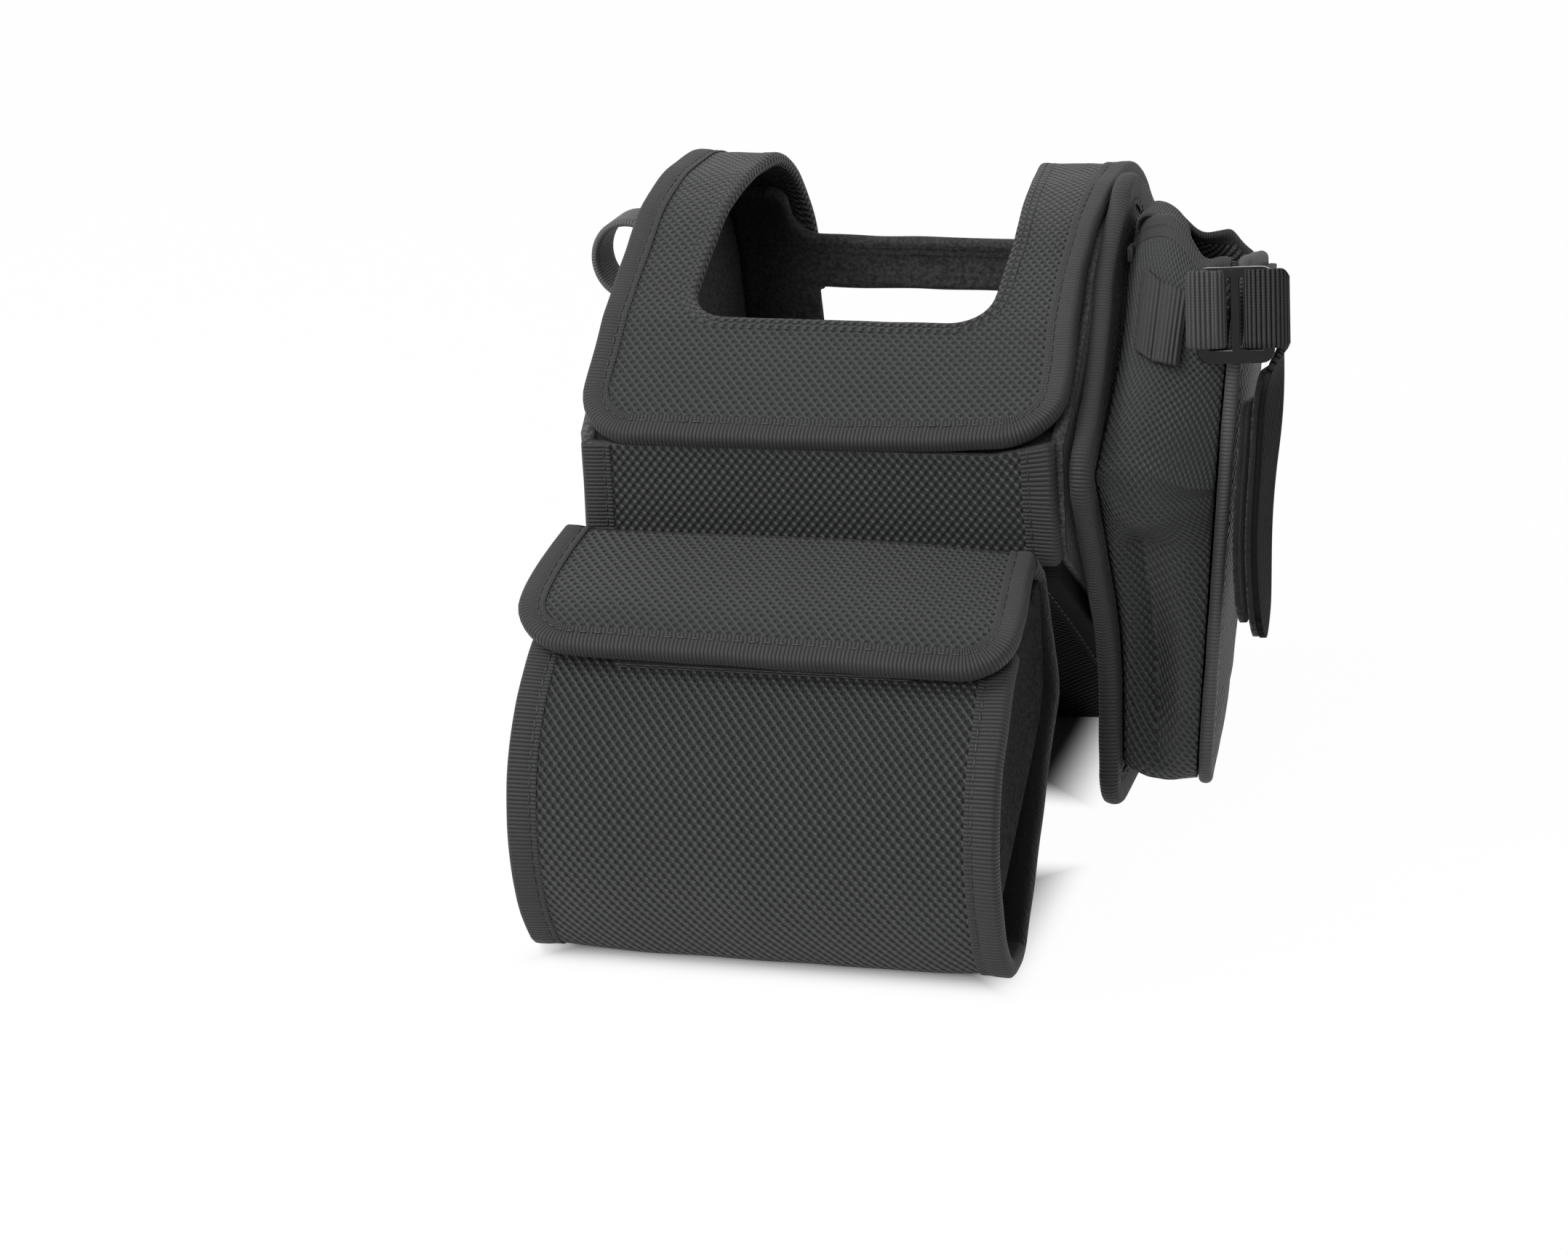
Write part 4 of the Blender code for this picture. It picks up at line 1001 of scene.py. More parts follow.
class Gusset:
    """Soft strip between the pouch's back panel and its outer face: front, bottom and rear."""

    def __init__(self):
        seam_ring = inset(pouch_ring(), [POUCH_SEAM] * 6)
        front_foot, rear_foot, rear, peak, nose, waist = seam_ring
        slope = (peak[0] - nose[0]) / (peak[1] - nose[1])
        mouth = nose[0] + (GUSSET_MOUTH - nose[1]) * slope
        face = inset(face_ring(), [CLEAR] * 5)
        rise = Vector(peak[:2]) - Vector(rear[:2])
        top = Vector(rear[:2]) + rise * (7 * MM / rise.y)
        self.inner = path([(mouth, GUSSET_MOUTH, 0), nose, waist, front_foot, rear_foot, rear, (*top, 0)])
        self.outer = path([(*face[3][:2], 0), face[4], face[0], face[1], (*face[2][:2], 0)])

    def at(self, row, share, lift=0.0, sculpt=True):
        """A point along the strip (0 to 1) and from the back panel to the outer face (0 to 1)."""
        along = row * self.inner.length
        along -= 20 * MM * max(1.0 - along / (40 * MM), 0.0) ** 2
        inner = self.inner.at(along)
        outer = self.outer.at(row * self.outer.length)
        left = self.inner.at(along, 1.0) - inner
        left = left.lerp(self.outer.at(row * self.outer.length, 1.0) - outer, share).normalized()
        spot = inner.lerp(outer, share)
        swell = 6 * MM * sin(pi * share) * (0.25 + 0.75 * clamp((spot.y - 10 * MM) / (22 * MM)))
        if sculpt:
            swell += self.fold(row, share, spot)
        spot = spot - left * (swell + lift) + Vector((0.0, self.slack(row, share) if sculpt else 0.0))
        start = POUCH_X + CLEAR
        end = face_x(outer.x, outer.y) - POUCH_CLOTH - EDGE - CLEAR
        spot = Vector((start + (end - start) * share, spot.x + SHIFT, spot.y))
        return spot.lerp(settle(spot), clamp(1.0 - share) ** 2)

    def slack(self, row, share):
        """How far the mouth's loose edge stands up or hangs down."""
        front = exp(-max(row, 0.0) * self.inner.length / (11 * MM))
        rear = exp(-max(1.0 - row, 0.0) * self.inner.length / (11 * MM))
        up = 2.4 * MM * bell(share, 0.40, 0.16) - 3.6 * MM * bell(share, 0.72, 0.14)
        up -= 1.0 * MM * bell(share, 0.05, 0.1)
        down = 1.2 * MM * bell(share, 0.76, 0.08) - 4.0 * MM * bell(share, 0.47, 0.17)
        return front * up + rear * down

    def fold(self, row, share, spot):
        """How far the soft cloth stands off or sinks in: a dented waist, a slack mouth and creases."""
        free = sin(pi * clamp(share))
        z = spot.y
        front = 1.0 if row < 0.5 else 0.3
        low = clamp((88 * MM - z) / (10 * MM)) * clamp((z - 16 * MM) / (18 * MM))
        chest = 1.6 * MM * bell(z, 104 * MM, 17 * MM)
        crease = 0.28 + 0.24 * clamp(1 - z / (88 * MM))
        hollow = -10.0 * MM * low * min(share / crease, (1 - share) / (1 - crease))
        brow = 1.8 * MM * bell(z, 91 * MM, 5 * MM)
        slack = exp(-max(150 * MM - z, 0.0) / (10 * MM))
        wave = 2.2 * MM * slack * sin(2 * pi * (1.35 * share + 0.12))
        uneven = 0.7 * MM * ripple(share * 25 * MM, z, 16 * MM, 21.0)
        return free * (front * (chest + hollow + brow) + uneven + wave)


# Operators

class CASE_OT_body(bpy.types.Operator):
    """Sews the main compartment: wrap, walls, rear panel and the ledge under the flap"""

    bl_idname = "case.body"
    bl_label = "Main compartment"

    def execute(self, context):
        wrap = wrap_path()

        def lay(x, s, depth):
            drawn = 1.8 * MM * clamp(1.0 - s / (70 * MM))
            spot = wrap.lay(x * (1 - drawn / HALF), s, depth)
            spot.z += 3.0 * MM * clamp((x - HALF + 14 * MM) / (14 * MM)) * clamp(1 - s / (12 * MM))
            return spot

        # Painted shade: the wrap's low part, under the front, gets the darkened copy of the cloth
        def in_painted_shade(face):
            return face.material_index == 0 and face.center.z < FRONT_FOOT - 3 * MM

        piece = panel("body_wrap", [strip(HALF, 0, wrap.length)], lay, SHEET, LINED, relief(1.0, 0.8, 1.0))
        repaint(piece, "painted_shade_cloth", in_painted_shade)
        padded(piece, "case")
        # The wrap's right tape is painted dark as shade past WRAP_SHADE
        rows = side_tapes("body_wrap", wrap.rising(EDGE_TAPE_STOP), lay, "painted_shade_tape", WRAP_SHADE)
        self.walls()
        self.rear()
        self.ledge()
        sewn(stitches("body_stitches", rows), "case", "tape")
        return {"FINISHED"}

    def walls(self):
        """Left and right walls inside the wrap and under the flap."""
        ring = [(0, roof_height(0), 2 * MM), (0, FRONT_FOOT, 10 * MM), (HEEL_START, 0, 12 * MM),
                (FLAP_REAR, 0, 3 * MM), (FLAP_REAR, ROOF_TOP, ARCH_R), (ROOF_BREAK, ROOF_TOP, ROOF_BREAK_R)]
        depths = [STANDOFF, STANDOFF, SHEET + CLEAR, STANDOFF, STANDOFF, STANDOFF]
        outline = rounded(inset(ring, depths), True)

        def behind(face):
            return face.normal.x > 0.5 and face.center.y > SHIFT + 95 * MM

        for side, sign in (("left", -1), ("right", 1)):
            def lay(y, z, depth, sign=sign):
                drawn = 1.8 * MM * clamp(1.0 - y / (40 * MM))
                raised = (2.3 + 0.6 * sign) * MM * clamp((70 * MM - y) / (40 * MM))
                raised *= clamp((y - 4 * MM) / (24 * MM))
                raised *= clamp((z - 80 * MM) / (16 * MM))
                return settle(Vector((sign * (WALL_OUT - depth - drawn), y + SHIFT, z + raised)))

            # Painted shade: the right wall's outer face takes the dark pile finish where it shows beside the
            # pouch, and the outer cloth only far behind
            soft, cloth = (0.5, "woven_cloth") if sign < 0 else (0.0, "hook_pile_and_painted_shade")
            # Painted light: the walls' inner sides take the paler copy of the lining
            piece = panel(f"{side}_wall", [outline], lay, SHEET, [cloth, "painted_light_lining"],
                          relief(soft, soft, 4.0 + sign))
            if sign > 0:
                repaint(piece, "woven_cloth", behind)
            padded(piece, "case")

    def rear(self):
        """Rear panel with its window, cross band and ears, and the hems round its openings."""
        half = WALL_IN - CLEAR
        back = path([(BODY_DEPTH, SHEET + CLEAR, 0), (BODY_DEPTH, ROOF_TOP - STANDOFF, ARCH_R - STANDOFF),
                     (ROOF_BREAK, ROOF_TOP - STANDOFF, 0)])

        def lay(x, s, depth):
            return settle(back.lay(x, s, depth))

        top = back.rising(BAND_TOP)
        ear = top + EAR[1]
        ear_in = half - EAR[0]
        upper = [(half, ear, 4 * MM), (ear_in, ear, 4 * MM), (ear_in, top, 8 * MM),
                 (-ear_in, top, 8 * MM), (-ear_in, ear, 4 * MM), (-half, ear, 4 * MM)]
        outline = rounded([(half, 0, 0)] + upper + [(-half, 0, 0)], True)
        corners = strip(WINDOW_HALF, back.rising(WINDOW_FOOT), top - BAND_TALL)
        window = rounded([(*corner, 2 * MM) for corner in corners], True)
        piece = panel("rear_panel", [outline, window], lay, SHEET, LINED, relief(0.4, 0.5, 6.0))
        padded(piece, "case")
        for name, edge, closed in (("rear_band_hem", Line(rounded(upper)[1:-1]), False),
                                   ("rear_window_hem", Line(list(reversed(window)), True), True)):
            piece = tape(name, edge, lay, cover=4 * MM, closed=closed, rise=0.4, weave="smooth_lining")
            sewn(piece, "case", "tape")

    def ledge(self):
        """Facing behind the front panel's top, with its loop patch."""
        lift = SHEET + 2 * PATCH + 3 * CLEAR
        slope = atan(ROOF_FALL)
        y = STANDOFF
        fold = roof_height(y) - lift / cos(slope)
        run = PATCH_MARGIN + TOP_PATCH[1]
        line = path([(y + run * cos(slope), fold + run * sin(slope), 0), (y, fold, 4 * MM),
                     (y, fold - 16 * MM, 0)])
        outline = strip(WALL_IN - CLEAR, 0, line.length)
        # Painted shade: the facing takes the dark pile finish, as the shadow under the flap's lip
        piece = panel("front_facing", [outline], line.lay, FACING, ["hook_pile_and_painted_shade"])
        sewn(piece, "case", "lining", "front_facing")

        def over(x, s, depth):
            return line.lay(x, s, depth - CLEAR - PATCH)

        patch("front_loop_patch", "case", TOP_PATCH[0], 0.2 * MM, TOP_PATCH[1], over, 1.6 * MM)


class CASE_OT_top_flap(bpy.types.Operator):
    """Sews the arched top flap with its cut-out, tape, hem and hook patch"""

    bl_idname = "case.top_flap"
    bl_label = "Top flap"

    def execute(self, context):
        line = flap_path()
        inner = CUTOUT_HALF + EDGE
        cut = line.length - CUTOUT_TO_LIP + EDGE
        outside = [(HALF, 0, 0), (HALF, line.length, 14 * MM), (-HALF, line.length, 14 * MM), (-HALF, 0, 0)]
        inside = [(-inner, 0, 0), (-inner, cut, 11 * MM), (inner, cut, 11 * MM), (inner, 0, 0)]

        def sag(x, s):
            lean = (x + HALF) / (2 * HALF)
            return -1.2 * MM * lean * bell(s, 0.45 * line.length, 45 * MM)

        def lay(x, s, depth):
            near = clamp((HALF - abs(x)) / (HALF - inner))
            behind = cut - s
            drawn = np.interp(behind, *RIGHT_ARM) if x > 0 else 1.6 * MM * clamp(behind / (60 * MM))
            spot = line.lay(x + drawn * near, s, depth - sag(x, s))
            lean = (x + HALF) / (2 * HALF)
            lip = clamp((s - cut) / (line.length - cut))
            raised = (2.0 + 1.2 * lean) * (1 - 1.3 * lip * (1 - lean ** 4)) * MM
            spot.z += raised * clamp((s - cut + 50 * MM) / (50 * MM))
            return settle(spot)

        piece = panel("top_flap", [rounded(outside + inside, True)], lay, SHEET, TOP_LIT, relief(0.7, 0.7, 2.0))
        padded(piece, "top_flap")
        edge = Line(rounded(outside))
        sewn(tape("top_flap_tape", edge, lay, cover=FLAP_COVER), "top_flap", "tape", "top_flap_tape")
        piece = tape("top_flap_hem", Line(rounded(inside)), lay, cover=HEM_COVER, rise=0.25,
                     weave="top_lit_cloth")
        sewn(piece, "top_flap", "tape", "top_flap_hem")
        rows = seam(edge, lay, FLAP_COVER, both=True)
        sewn(stitches("top_flap_stitches", rows), "top_flap", "tape")
        end = line.length - PATCH_MARGIN

        def under(x, s, depth):
            return lay(x, s, SHEET + CLEAR + depth)

        patch("top_flap_hook_patch", "top_flap", TOP_PATCH[0], end - TOP_PATCH[1], end, under, 1.6 * MM)
        return {"FINISHED"}


class CASE_OT_front_pocket(bpy.types.Operator):
    """Sews the bulging front pocket, its side gussets and loop patch"""

    bl_idname = "case.front_pocket"
    bl_label = "Front pocket"

    def execute(self, context):
        line = pocket_path()
        end = line.nearest(RIDGE) - CLEAR

        def lay(x, s, depth):
            drawn = 1.6 * MM * clamp((end - s) / (60 * MM))
            return slump(line.lay(x * (1 - drawn / HALF), s, depth))

        piece = panel("front_pocket", [strip(HALF, 0, end)], lay, SHEET, LINED, relief(0.9, 0.9, 3.0))
        padded(piece, "case")
        heel = line.nearest((POCKET_HEEL, EDGE))
        # Painted shade: the dark pile finish on the tapes' inner legs and on the right tape's rear part,
        # where they sit in shade
        rows = side_tapes("front_pocket", end, lay, "hook_pile_and_painted_shade", heel, True)
        sewn(stitches("front_pocket_stitches", rows), "case", "tape")
        ring = pocket_ring()
        gusset = rounded(inset(ring, [SHEET + CLEAR] * (len(ring) - 1) + [CLEAR]), True)
        gusset = clipped(gusset, Vector((-2 * MM, 52 * MM)), Vector((-66 * MM, 12 * MM)))
        for side, sign in (("left", -1), ("right", 1)):
            def lay_side(y, z, depth, sign=sign):
                return Vector((sign * (POCKET_GUSSET_X - depth), y + SHIFT, z))
            # Painted shade: the end gussets take the darker copy of the lining
            piece = panel(f"front_pocket_gusset_{side}", [gusset], lay_side, POCKET_GUSSET, ["painted_shade_lining"],
                          relief(-1.0, 1.5, 8.0 + sign))
            sewn(piece, "case", "lining", f"front_pocket_gusset_{side}")
        start = MOUTH_RUN + CLEAR

        def over(x, s, depth):
            return line.lay(x, s, depth - CLEAR - PATCH)

        patch("front_pocket_loop_patch", "case", POCKET_PATCH[0], start, start + POCKET_PATCH[1],
              over, 1.2 * MM)
        return {"FINISHED"}


class CASE_OT_pocket_flap(bpy.types.Operator):
    """Sews the pocket's flap with its tape and hook patch"""

    bl_idname = "case.pocket_flap"
    bl_label = "Pocket flap"

    def execute(self, context):
        line = pocket_path()
        start, end = line.nearest(RIDGE) + CLEAR, line.length
        corners = [(HALF, start, 0), (HALF, end, 13 * MM), (-HALF, end, 13 * MM), (-HALF, start, 0)]

        def lay(x, s, depth):
            out = 2.0 * MM * sin(pi * (s - start) / (end - start)) * ((HALF - x) / (2 * HALF)) ** 2
            droop = 1.2 * MM * (x / HALF) * ((s - start) / (end - start)) ** 2
            return slump(line.lay(x - out, s + droop, depth))

        piece = panel("pocket_flap", [rounded(corners, True)], lay, SHEET, TOP_LIT, relief(0.8, 0.7, 5.0))
        padded(piece, "pocket_flap")
        edge = Line(rounded(corners))
        sewn(tape("pocket_flap_tape", edge, lay, cover=FLAP_COVER), "pocket_flap", "tape", "pocket_flap_tape")
        rows = seam(edge, lay, FLAP_COVER, both=True)
        sewn(stitches("pocket_flap_stitches", rows), "pocket_flap", "tape")

        def under(x, s, depth):
            return line.lay(x, s, SHEET + EDGE + CLEAR + depth)

        patch("pocket_flap_hook_patch", "pocket_flap", POCKET_PATCH[0], end - POCKET_PATCH[1], end,
              under, 1.2 * MM)
        return {"FINISHED"}


class CASE_OT_side_pouch(bpy.types.Operator):
    """Sews the side pouch: bound back panel, soft gusset and bound outer face"""

    bl_idname = "case.side_pouch"
    bl_label = "Side pouch"

    def execute(self, context):
        ring = rounded(pouch_ring(), True)
        piece = panel("pouch_back", [ring], lay_pouch_back, SHEET, LINED, relief(0.0, 0.3, 11.0))
        padded(piece, "case")
        edge = Line(ring, True)
        sewn(tape("pouch_back_tape", edge, lay_pouch_back, closed=True), "case", "tape", "pouch_back_tape")
        face = rounded(face_ring(), True)
        swell = relief(3.2, 1.2, 12.0)
        # Painted light: the outer face takes a paler, evened copy of the outer cloth
        piece = panel("pouch_face", [face], lay_face, POUCH_CLOTH, ["pouch_cloth_painted_light", "smooth_lining"], swell)
        sewn(piece, "case", "cloth", "pouch_face")
        face_edge = Line(face, True)
        # Painted sheen: the face's tape takes the much paler copy of the edge tape
        piece = tape("pouch_face_tape", face_edge, lay_face, POUCH_CLOTH, closed=True, weave="painted_sheen_tape")
        sewn(piece, "case", "tape", "pouch_face_tape")
        rows = seam(edge, lay_pouch_back, TAPE_COVER) + seam(face_edge, lay_face, TAPE_COVER)
        sewn(stitches("pouch_stitches", rows), "case", "tape")
        self.gusset()
        return {"FINISHED"}

    def gusset(self):
        """Soft strip round the pouch, with the turned hems of its mouth."""
        cloth = Gusset()
        columns, rows = 30, 190
        spots = np.array([[cloth.at(v / rows, u / columns) for u in range(columns + 1)]
                          for v in range(rows + 1)])
        middle = columns // 2
        run = np.concatenate(([0], np.linalg.norm(np.diff(spots[:, middle], axis=0), axis=1).cumsum()))
        wide = np.linalg.norm(np.diff(spots, axis=1), axis=2).cumsum(axis=1)
        wide = np.concatenate((np.zeros((rows + 1, 1)), wide), axis=1)
        cut_area = float(wide[:, -1].mean() * run[-1])
        wide -= wide[:, middle:middle + 1]
        fine = 1.0 + 0.3 * np.clip((spots[:, middle, 2] - 80 * MM) / (15 * MM), 0, 1)
        run = np.concatenate(([0], (np.diff(run) * fine[1:]).cumsum()))
        wide *= fine[:, None]
        obj = grid("pouch_gusset", columns, rows)
        shares = places(obj.data)[:, :2] + 0.5
        cells = [(round(v * rows), round(u * columns)) for u, v in shares]
        put(obj.data, [spots[c] for c in cells], [(wide[c], run[c[0]]) for c in cells])
        face = obj.data.polygons[len(obj.data.polygons) // 4]
        u, v = shares[face.vertices[0]]
        if face.normal.dot(cloth.at(v, u, MM) - cloth.at(v, u)) < 0:
            turn_over(obj)
        # Painted light: the gusset takes the pouch's paler, evened copy of the outer cloth
        smooth(obj, ["pouch_cloth_painted_light"])
        modifier(obj, "SOLIDIFY", thickness=POUCH_CLOTH, offset=-1.0)
        sewn(obj, "case", "cloth", "pouch_gusset_front", "pouch_gusset_rear")
        section = loop_line(folded_section(POUCH_CLOTH, 3.2 * MM, 0.5))
        girth = len(section.points) - 1
        for name, start, sign in (("pouch_mouth_hem_front", 0.0, 1), ("pouch_mouth_hem_rear", 1.0, -1)):
            def place(u, v, start=start, sign=sign):
                out, depth = section.points[round(u * girth) % girth]
                return cloth.at(start - sign * out / cloth.inner.length, 0.02 + 0.96 * v, -depth)

            def flat(u, v):
                return v * 40 * MM, section.stations[round(u * girth)]

            sewn(tube(name, girth, 40, place, flat, ["ribbed_tape"]), "case", "tape")


def slide_frame():
    """Place of the slide: X along the strap, Y into the pouch, Z up the webbing."""
    centre = Vector((face_x(SLIDE_Y, SLIDE_Z) - 0.5 * MM, SLIDE_Y + SHIFT, SLIDE_Z))
    turned = Matrix.Translation(centre) @ Matrix.Rotation(radians(10.0), 4, "Z")
    return turned @ Matrix.Rotation(radians(-8.0), 4, "X")


class CASE_OT_strap(bpy.types.Operator):
    """Makes the webbing strap: sewn anchor, loop, three-bar slide, run and free tail"""

    bl_idname = "case.strap"
    bl_label = "Strap and slide"

    def execute(self, context):
        place = slide_frame() @ Matrix.Translation((0, 0, 2.0 * MM))
        turn = SLIDE_THICK / 2 + CLEAR + WEB
        bar = SLIDE_HALF - SLIDE_BAR / 2
        near = 1.9 * MM

        def lay(up, spot):
            return place @ Vector((spot.x, spot.y, self.flare(up, spot)))

        far = bar + 4.0 * MM
        corners = [(-near, -turn), (-near, turn), (-far, turn), (-far, -turn)]
        ring = rounded([(*corner, turn) for corner in corners], True)
        piece = band("strap_loop", Line(ring, True), lay, WEB_HALF, WEB, closed=True, pitch=1.0 * MM)
        sewn(piece, "case", "webbing", "strap_loop")
        self.slide(place)
        self.tail(place, turn, bar, near)
        self.anchor()
        self.run()
        return {"FINISHED"}

    def flare(self, up, spot):
        """The webbing spreads over the slide's top bar where it passes in front of it."""
        return up + 2.2 * MM * max(up / WEB_HALF, 0.0) * clamp(-spot.y / MM)

    def slide(self, place):
        """Three-bar slide with rounded bars."""
        obj = grid("strap_slide_frame", 5, 3)
        tall = WEB_HALF + CLEAR
        slot = SLIDE_HALF - SLIDE_BAR
        columns = [-SLIDE_HALF, -slot, -1.1 * MM, 1.1 * MM, slot, SLIDE_HALF]
        rows = [-tall - 3.4 * MM, -tall, tall, tall + 2.4 * MM]
        for vert in obj.data.vertices:
            vert.co = (columns[round((vert.co.x + 0.5) * 5)], rows[round((vert.co.y + 0.5) * 3)], 0)
        drop_faces(obj, [abs(face.center.y) < MM < abs(face.center.x) < 6 * MM for face in obj.data.polygons])
        bpy.context.tool_settings.mesh_select_mode = (True, False, False)
        with opened(obj, "DESELECT"):
            pass
        for vert in obj.data.vertices:
            vert.select = abs(vert.co.x) > SLIDE_HALF - CLEAR and abs(vert.co.y) > tall + 2 * MM
        with opened(obj):
            bpy.ops.mesh.bevel(affect="VERTICES", offset=3.0 * MM, segments=5)
        modifier(obj, "SOLIDIFY", thickness=SLIDE_THICK, offset=0.0)
        modifier(obj, "BEVEL", width=1.05 * MM, segments=5, limit_method="ANGLE", angle_limit=radians(60))
        upright = Matrix.Rotation(radians(90.0), 4, "X")
        obj.data.transform(place @ upright)
        face_outwards(obj)
        smooth(obj, ["moulded_plastic"], 50.0)
        sewn(obj, "slide", "slide", "strap_slide")

    def tail(self, place, turn, bar, near):
        """Free end: round the slide's right bar, over the corner of the pouch and down."""
        reach = 13.0 * MM
        angle = radians(94.0)
        past = Vector((reach, -turn)) + Vector((cos(angle), sin(angle))) * 25 * MM
        line = path([(bar + SLIDE_BAR, turn, 0), (near, turn, turn), (near, -turn, turn),
                     (reach, -turn, 5.0 * MM), (past.x, past.y, 0)])
        end = line.length
        start = end - 2 * WEB_HALF
        outline = rounded([(WEB_HALF, 0, 0), (WEB_HALF, end, WEB_HALF), (TAIL_END, end, 8 * MM),
                           (TAIL_END, start, 8 * MM), (-WEB_HALF, start, 11 * MM), (-WEB_HALF, 0, 0)], True)

        def lay(up, along, depth):
            spot = line.at(along, depth)
            below = max(-up - WEB_HALF, 0.0)
            rear = clamp((along - start) / (end - start))
            ahead = 8.0 * MM * (1 - exp(-below / (9 * MM))) - 0.6 * MM * below / (70 * MM)
            swing = ahead * (1 - rear) + 5 * MM * (below / (70 * MM)) ** 1.5 * rear
            wave = 0.8 * MM * clamp(below / (30 * MM)) * sin(below / (11 * MM) + rear)
            return place @ Vector((spot.x - swing + wave, spot.y, self.flare(up, spot)))

        # Painted shade: the tail's webbing is darker on its hanging part
        piece = panel("strap_tail", [outline], lay, WEB, ["tail_webbing_painted_shade"], cell=1.2 * MM)
        sewn(piece, "tail", "webbing", "strap_tail")
        for name, gap, top, foot in (("strap_tail_fold", 0.1 * MM, -15 * MM, -79.5 * MM),
                                     ("strap_tail_ply", 3.0 * MM, -22 * MM, -76 * MM)):
            ply = rounded([(top, start + 0.3 * MM, 2 * MM), (top, end - 0.6 * MM, 2 * MM),
                           (foot, end - 0.6 * MM, 7 * MM), (foot, start + 0.3 * MM, 7 * MM)], True)

            def under(up, along, depth, gap=gap):
                return lay(up, along, depth + WEB + gap * clamp((-up - 12 * MM) / (12 * MM)) + 0.05 * MM)

            # Painted shade: the plies under the tail take the dark pile finish, as the shade between them
            piece = panel(name, [ply], under, WEB, ["hook_pile_and_painted_shade"], cell=1.2 * MM)
            sewn(piece, "tail", "webbing")

    def anchor(self):
        """End of the strap sewn on the gusset in two flat folds."""
        cloth = Gusset()
        wide = cloth.at(0.05, 1).x - cloth.at(0.05, 0).x
        obj = grid("strap_anchor", 22, 20)
        shares = places(obj.data)[:, :2] + 0.5

        def place(u, v):
            fold = 1.2 * MM * abs(sin(2 * pi * u)) ** 0.7
            share = (5.6 * MM + ANCHOR_LONG * u) / wide
            height = SLIDE_Z - 4.0 * MM - 0.6 * MM * u + (2 * v - 1) * 7.4 * MM
            low, high = 0.0, 0.4
            for _ in range(14):
                row = (low + high) / 2
                if cloth.at(row, share).z > height:
                    low = row
                else:
                    high = row
            return cloth.at(row, share, CLEAR + WEB + fold)

        flat = [(u * ANCHOR_LONG, v * 2 * WEB_HALF) for u, v in shares]
        put(obj.data, [place(u, v) for u, v in shares], flat)
        face = obj.data.polygons[len(obj.data.polygons) // 2]
        if face.normal.dot(cloth.at(0.06, 0.5, MM) - cloth.at(0.06, 0.5)) < 0:
            turn_over(obj)
        smooth(obj, ["anchor_webbing"])
        modifier(obj, "SOLIDIFY", thickness=WEB, offset=-1.0)
        sewn(obj, "case", "webbing", "strap_anchor")

    def run(self):
        """Strap sewn over the pouch's outer face."""
        low, high = SLIDE_Z - WEB_HALF, SLIDE_Z + WEB_HALF
        front, rear = FACE_FRONT + 2 * TAPE_COVER, FACE_REAR
        fall = (MOUTH - MOUTH_REAR) / (rear - FACE_FRONT - 7 * MM) * (rear - front)
        outline = [Vector(p) for p in ((front, low), (rear, low - fall), (rear, high - fall), (front, high))]

        def lay(y, z, depth):
            return lay_face(y, z, depth - EDGE - CLEAR - WEB)

        piece = panel("strap_run", [outline], lay, WEB, ["strap_webbing"], cell=1.6 * MM)
        sewn(piece, "case", "webbing", "strap_run")


class CASE_OT_rings(bpy.types.Operator):
    """Makes the two strap rings and the keepers they hang in"""

    bl_idname = "case.rings"
    bl_label = "Strap rings"

    def execute(self, context):
        gap = 2.5 * MM
        # Painted light: the left ring has a paler copy of the webbing; the right ring has the plain one
        for side, sign, face, y, z, tilt, flat, tall, weave in (
                ("left", -1, WALL_OUT, 94 * MM, 129 * MM, 0.0, 0.88, 0.95, "painted_light_webbing"),
                ("right", 1, POUCH_X, 79 * MM, 135 * MM, radians(38.0), 0.40, 0.62, "strap_webbing")):
            hinge = Vector((sign * (face + gap + RING_BAND / 2), y + SHIFT, z))
            moved = settle(hinge) - hinge
            moved.z = 3.0 * MM if sign > 0 else 0.0
            hinge += moved
            turn = Matrix.Translation(hinge) @ Matrix.Rotation(-sign * tilt, 4, "Y")
            circle = [Vector((RING_R * cos(radians(a)), RING_R * sin(radians(a)))) for a in range(0, 360, 6)]

            def lay_ring(across, spot, turn=turn, sign=sign, flat=flat, tall=tall):
                return turn @ Vector((sign * (RING_R - RING_BAND / 2 - spot.x) * flat, across, spot.y * tall))

            piece = band(f"{side}_strap_ring", Line(circle, True), lay_ring, RING_HALF, RING_BAND,
                         closed=True, weave=weave)
            sewn(piece, f"{side}_ring", "webbing", f"{side}_strap_ring")
            thick = 1.2 * MM
            bridge = gap + RING_BAND + 3 * MM + thick
            span = RING_HALF + CLEAR + thick
            low = CLEAR + thick
            line = path([(-span - 4 * MM, low, 0), (-span, low, thick), (-span, bridge, 2 * thick),
                         (span, bridge, 2 * thick), (span, low, thick), (span + 4 * MM, low, 0)])

            def lay_keeper(across, spot, face=face, y=y, z=z, sign=sign, moved=moved):
                return Vector((sign * (face + spot.y), y + SHIFT + spot.x, z + across)) + moved

            flip = Line([Vector(p) for p in reversed(line.points)])
            piece = band(f"{side}_ring_keeper", flip, lay_keeper, 2 * MM, thick, pitch=0.8 * MM)
            sewn(piece, "case", "webbing", f"{side}_ring_keeper")
        return {"FINISHED"}


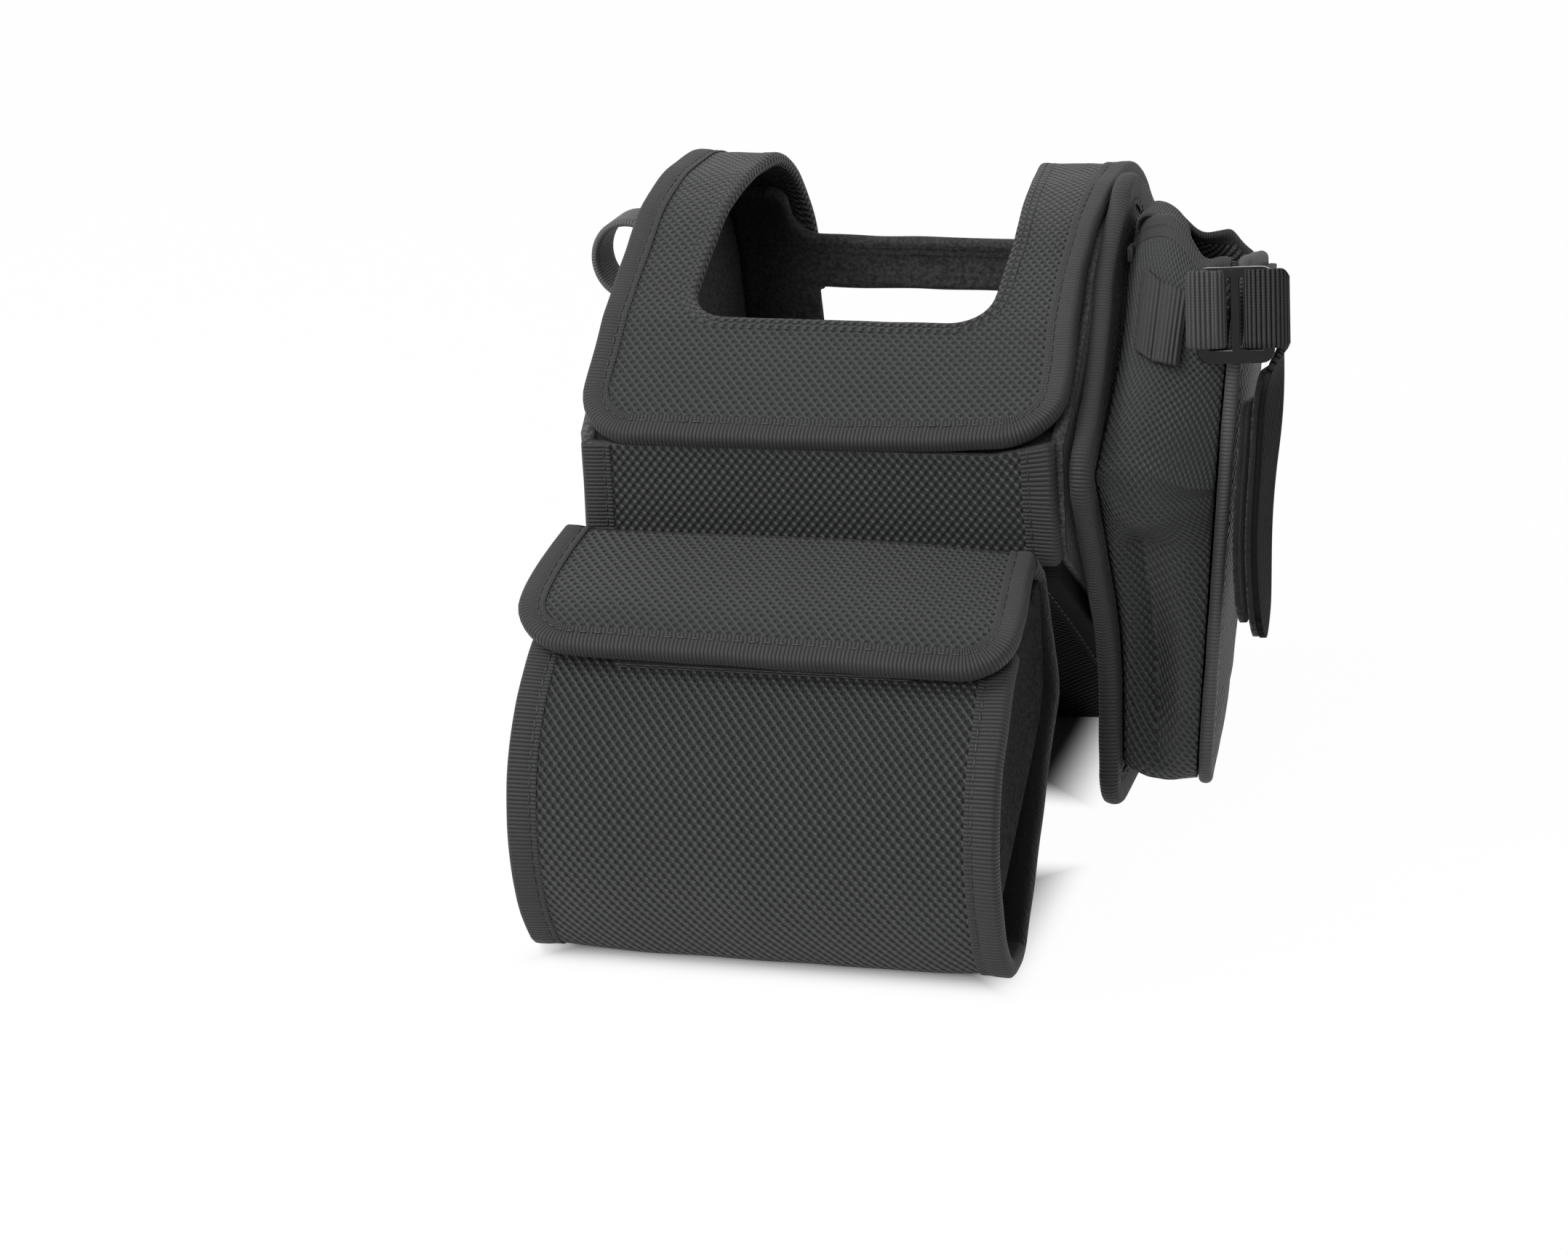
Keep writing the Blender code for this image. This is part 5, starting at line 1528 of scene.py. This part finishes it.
class CASE_OT_stage(bpy.types.Operator):
    """Sets the floor, the soft studio light and the camera"""

    bl_idname = "case.stage"
    bl_label = "Stage"

    def execute(self, context):
        scene = context.scene
        scene.view_settings.view_transform = "Standard"
        bpy.ops.object.select_all(action="DESELECT")
        bpy.ops.mesh.primitive_plane_add(size=12.0, location=(0, 0, 0))
        floor_plane = context.object
        floor_plane.name = "floor"
        floor_plane.data.materials.append(self.floor(scene.case_colours))
        self.light(scene)
        self.camera(scene)
        return {"FINISHED"}

    def floor(self, colours):
        """Pale floor that looks white to the camera, keeping the shadow only near the pocket and the heel,
        where a contact shadow is also painted.
        """
        f = Finish("pale_floor")
        seen = f.seen()
        x = f.add("ShaderNodeSeparateXYZ", None, {0: f.add("ShaderNodeTexCoord", None, None, 3)})
        y = Wire(f, x.socket.node.outputs[1])

        def outside(wide, ahead, deep):
            return (x.size() - wide).most((y + ahead).size() - deep)

        away = outside(*POCKET_SHADE).least(outside(*HEEL_SHADE))
        # Painted shadow: the floor's colour is darkened near and under the pocket and the heel
        base = f.blend(away.above(0.002, 0.008), tint(colours.floor, 0.25), tuple(colours.floor))
        f.done({"Specular_IOR_Level": 0.0, "Roughness": 0.9}, Base_Color=base)
        glow = f.add("ShaderNodeEmission", None, {"Color": (1, 1, 1, 1), "Strength": 1.0})
        lit = Wire(f, f.shader.outputs[0])
        share = seen * 0.98 * away.above(0.003, 0.010)
        lifted = f.add("ShaderNodeMixShader", None, {0: share, 1: lit, 2: glow})
        out = f.tree.nodes["Material Output"]
        f.tree.links.new(lifted.socket, out.inputs["Surface"])
        return f.material

    def light(self, scene):
        """Broad lamps from the upper left and the front, and an even white surround."""
        world = bpy.data.worlds.new("surround")
        scene.world = world
        world.use_nodes = True
        nodes = Nodes(world.node_tree)
        level = nodes.add("ShaderNodeMapRange", None, {"Value": nodes.seen(), "To Min": 0.34, "To Max": 1.0})
        shade = world.node_tree.nodes["Background"]
        nodes.feed(shade.inputs["Color"], (1, 1, 1, 1))
        nodes.feed(shade.inputs["Strength"], level)
        for name, spot, size, power in (("key_lamp", (-0.85, -0.65, 1.35), 0.9, 18.0),
                                        ("front_lamp", (-0.10, -1.55, 0.85), 0.7, 13.0)):
            bpy.ops.object.light_add(type="AREA", location=spot)
            lamp = bpy.context.object
            lamp.name = name
            lamp.data.shape = "DISK"
            lamp.data.size = size
            lamp.data.energy = power
            aim = Vector((0, -0.06, 0.07)) - Vector(spot)
            lamp.rotation_euler = aim.to_track_quat("-Z", "Y").to_euler()

    def camera(self, scene):
        """Camera at the photo's angle; the frame of 2156 by 1725 pixels is not set here."""
        yaw, pitch, roll = CAMERA_YAW, CAMERA_PITCH, CAMERA_ROLL
        ahead = Vector((-sin(yaw) * cos(pitch), cos(yaw) * cos(pitch), -sin(pitch)))
        right = Vector((cos(yaw), sin(yaw), 0.0))
        up = right.cross(ahead)
        r = right * cos(roll) + up * sin(roll)
        u = up * cos(roll) - right * sin(roll)
        turn = Matrix((r, u, -ahead)).transposed().to_4x4()
        bpy.ops.object.camera_add(location=(0, 0, 0))
        camera = bpy.context.object
        camera.name = "photo_camera"
        camera.matrix_world = Matrix.Translation(CAMERA_SPOT) @ turn
        camera.data.lens = CAMERA_LENS
        camera.data.sensor_width = 36.0
        camera.data.clip_start = 0.01
        scene.camera = camera


OPERATORS = (CASE_OT_body, CASE_OT_top_flap, CASE_OT_front_pocket, CASE_OT_pocket_flap, CASE_OT_side_pouch,
             CASE_OT_strap, CASE_OT_rings, CASE_OT_stage)


class CASE_PT_sewing(bpy.types.Panel):
    """Lists the pieces of the case"""

    bl_label = "Soft instrument case"
    bl_idname = "CASE_PT_sewing"
    bl_space_type = "VIEW_3D"
    bl_region_type = "UI"
    bl_category = "Case"

    def draw(self, context):
        for operator in OPERATORS:
            self.layout.operator(operator.bl_idname)
        for group in (context.scene.case_sizes, context.scene.case_colours):
            box = self.layout.box()
            for name in group.bl_rna.properties.keys():
                if name not in ("rna_type", "name"):
                    box.prop(group, name)


CLASSES = (CaseSizes, CaseColours, *OPERATORS, CASE_PT_sewing)


def register():
    for cls in CLASSES:
        bpy.utils.register_class(cls)
    bpy.types.Scene.case_sizes = PointerProperty(type=CaseSizes)
    bpy.types.Scene.case_colours = PointerProperty(type=CaseColours)


def unregister():
    del bpy.types.Scene.case_colours
    del bpy.types.Scene.case_sizes
    for cls in reversed(CLASSES):
        bpy.utils.unregister_class(cls)


def main():
    """Registers the add-on and sews every piece in order."""
    register()
    for operator in OPERATORS:
        group, name = operator.bl_idname.split(".")
        getattr(getattr(bpy.ops, group), name)()


if __name__ == "__main__":
    main()
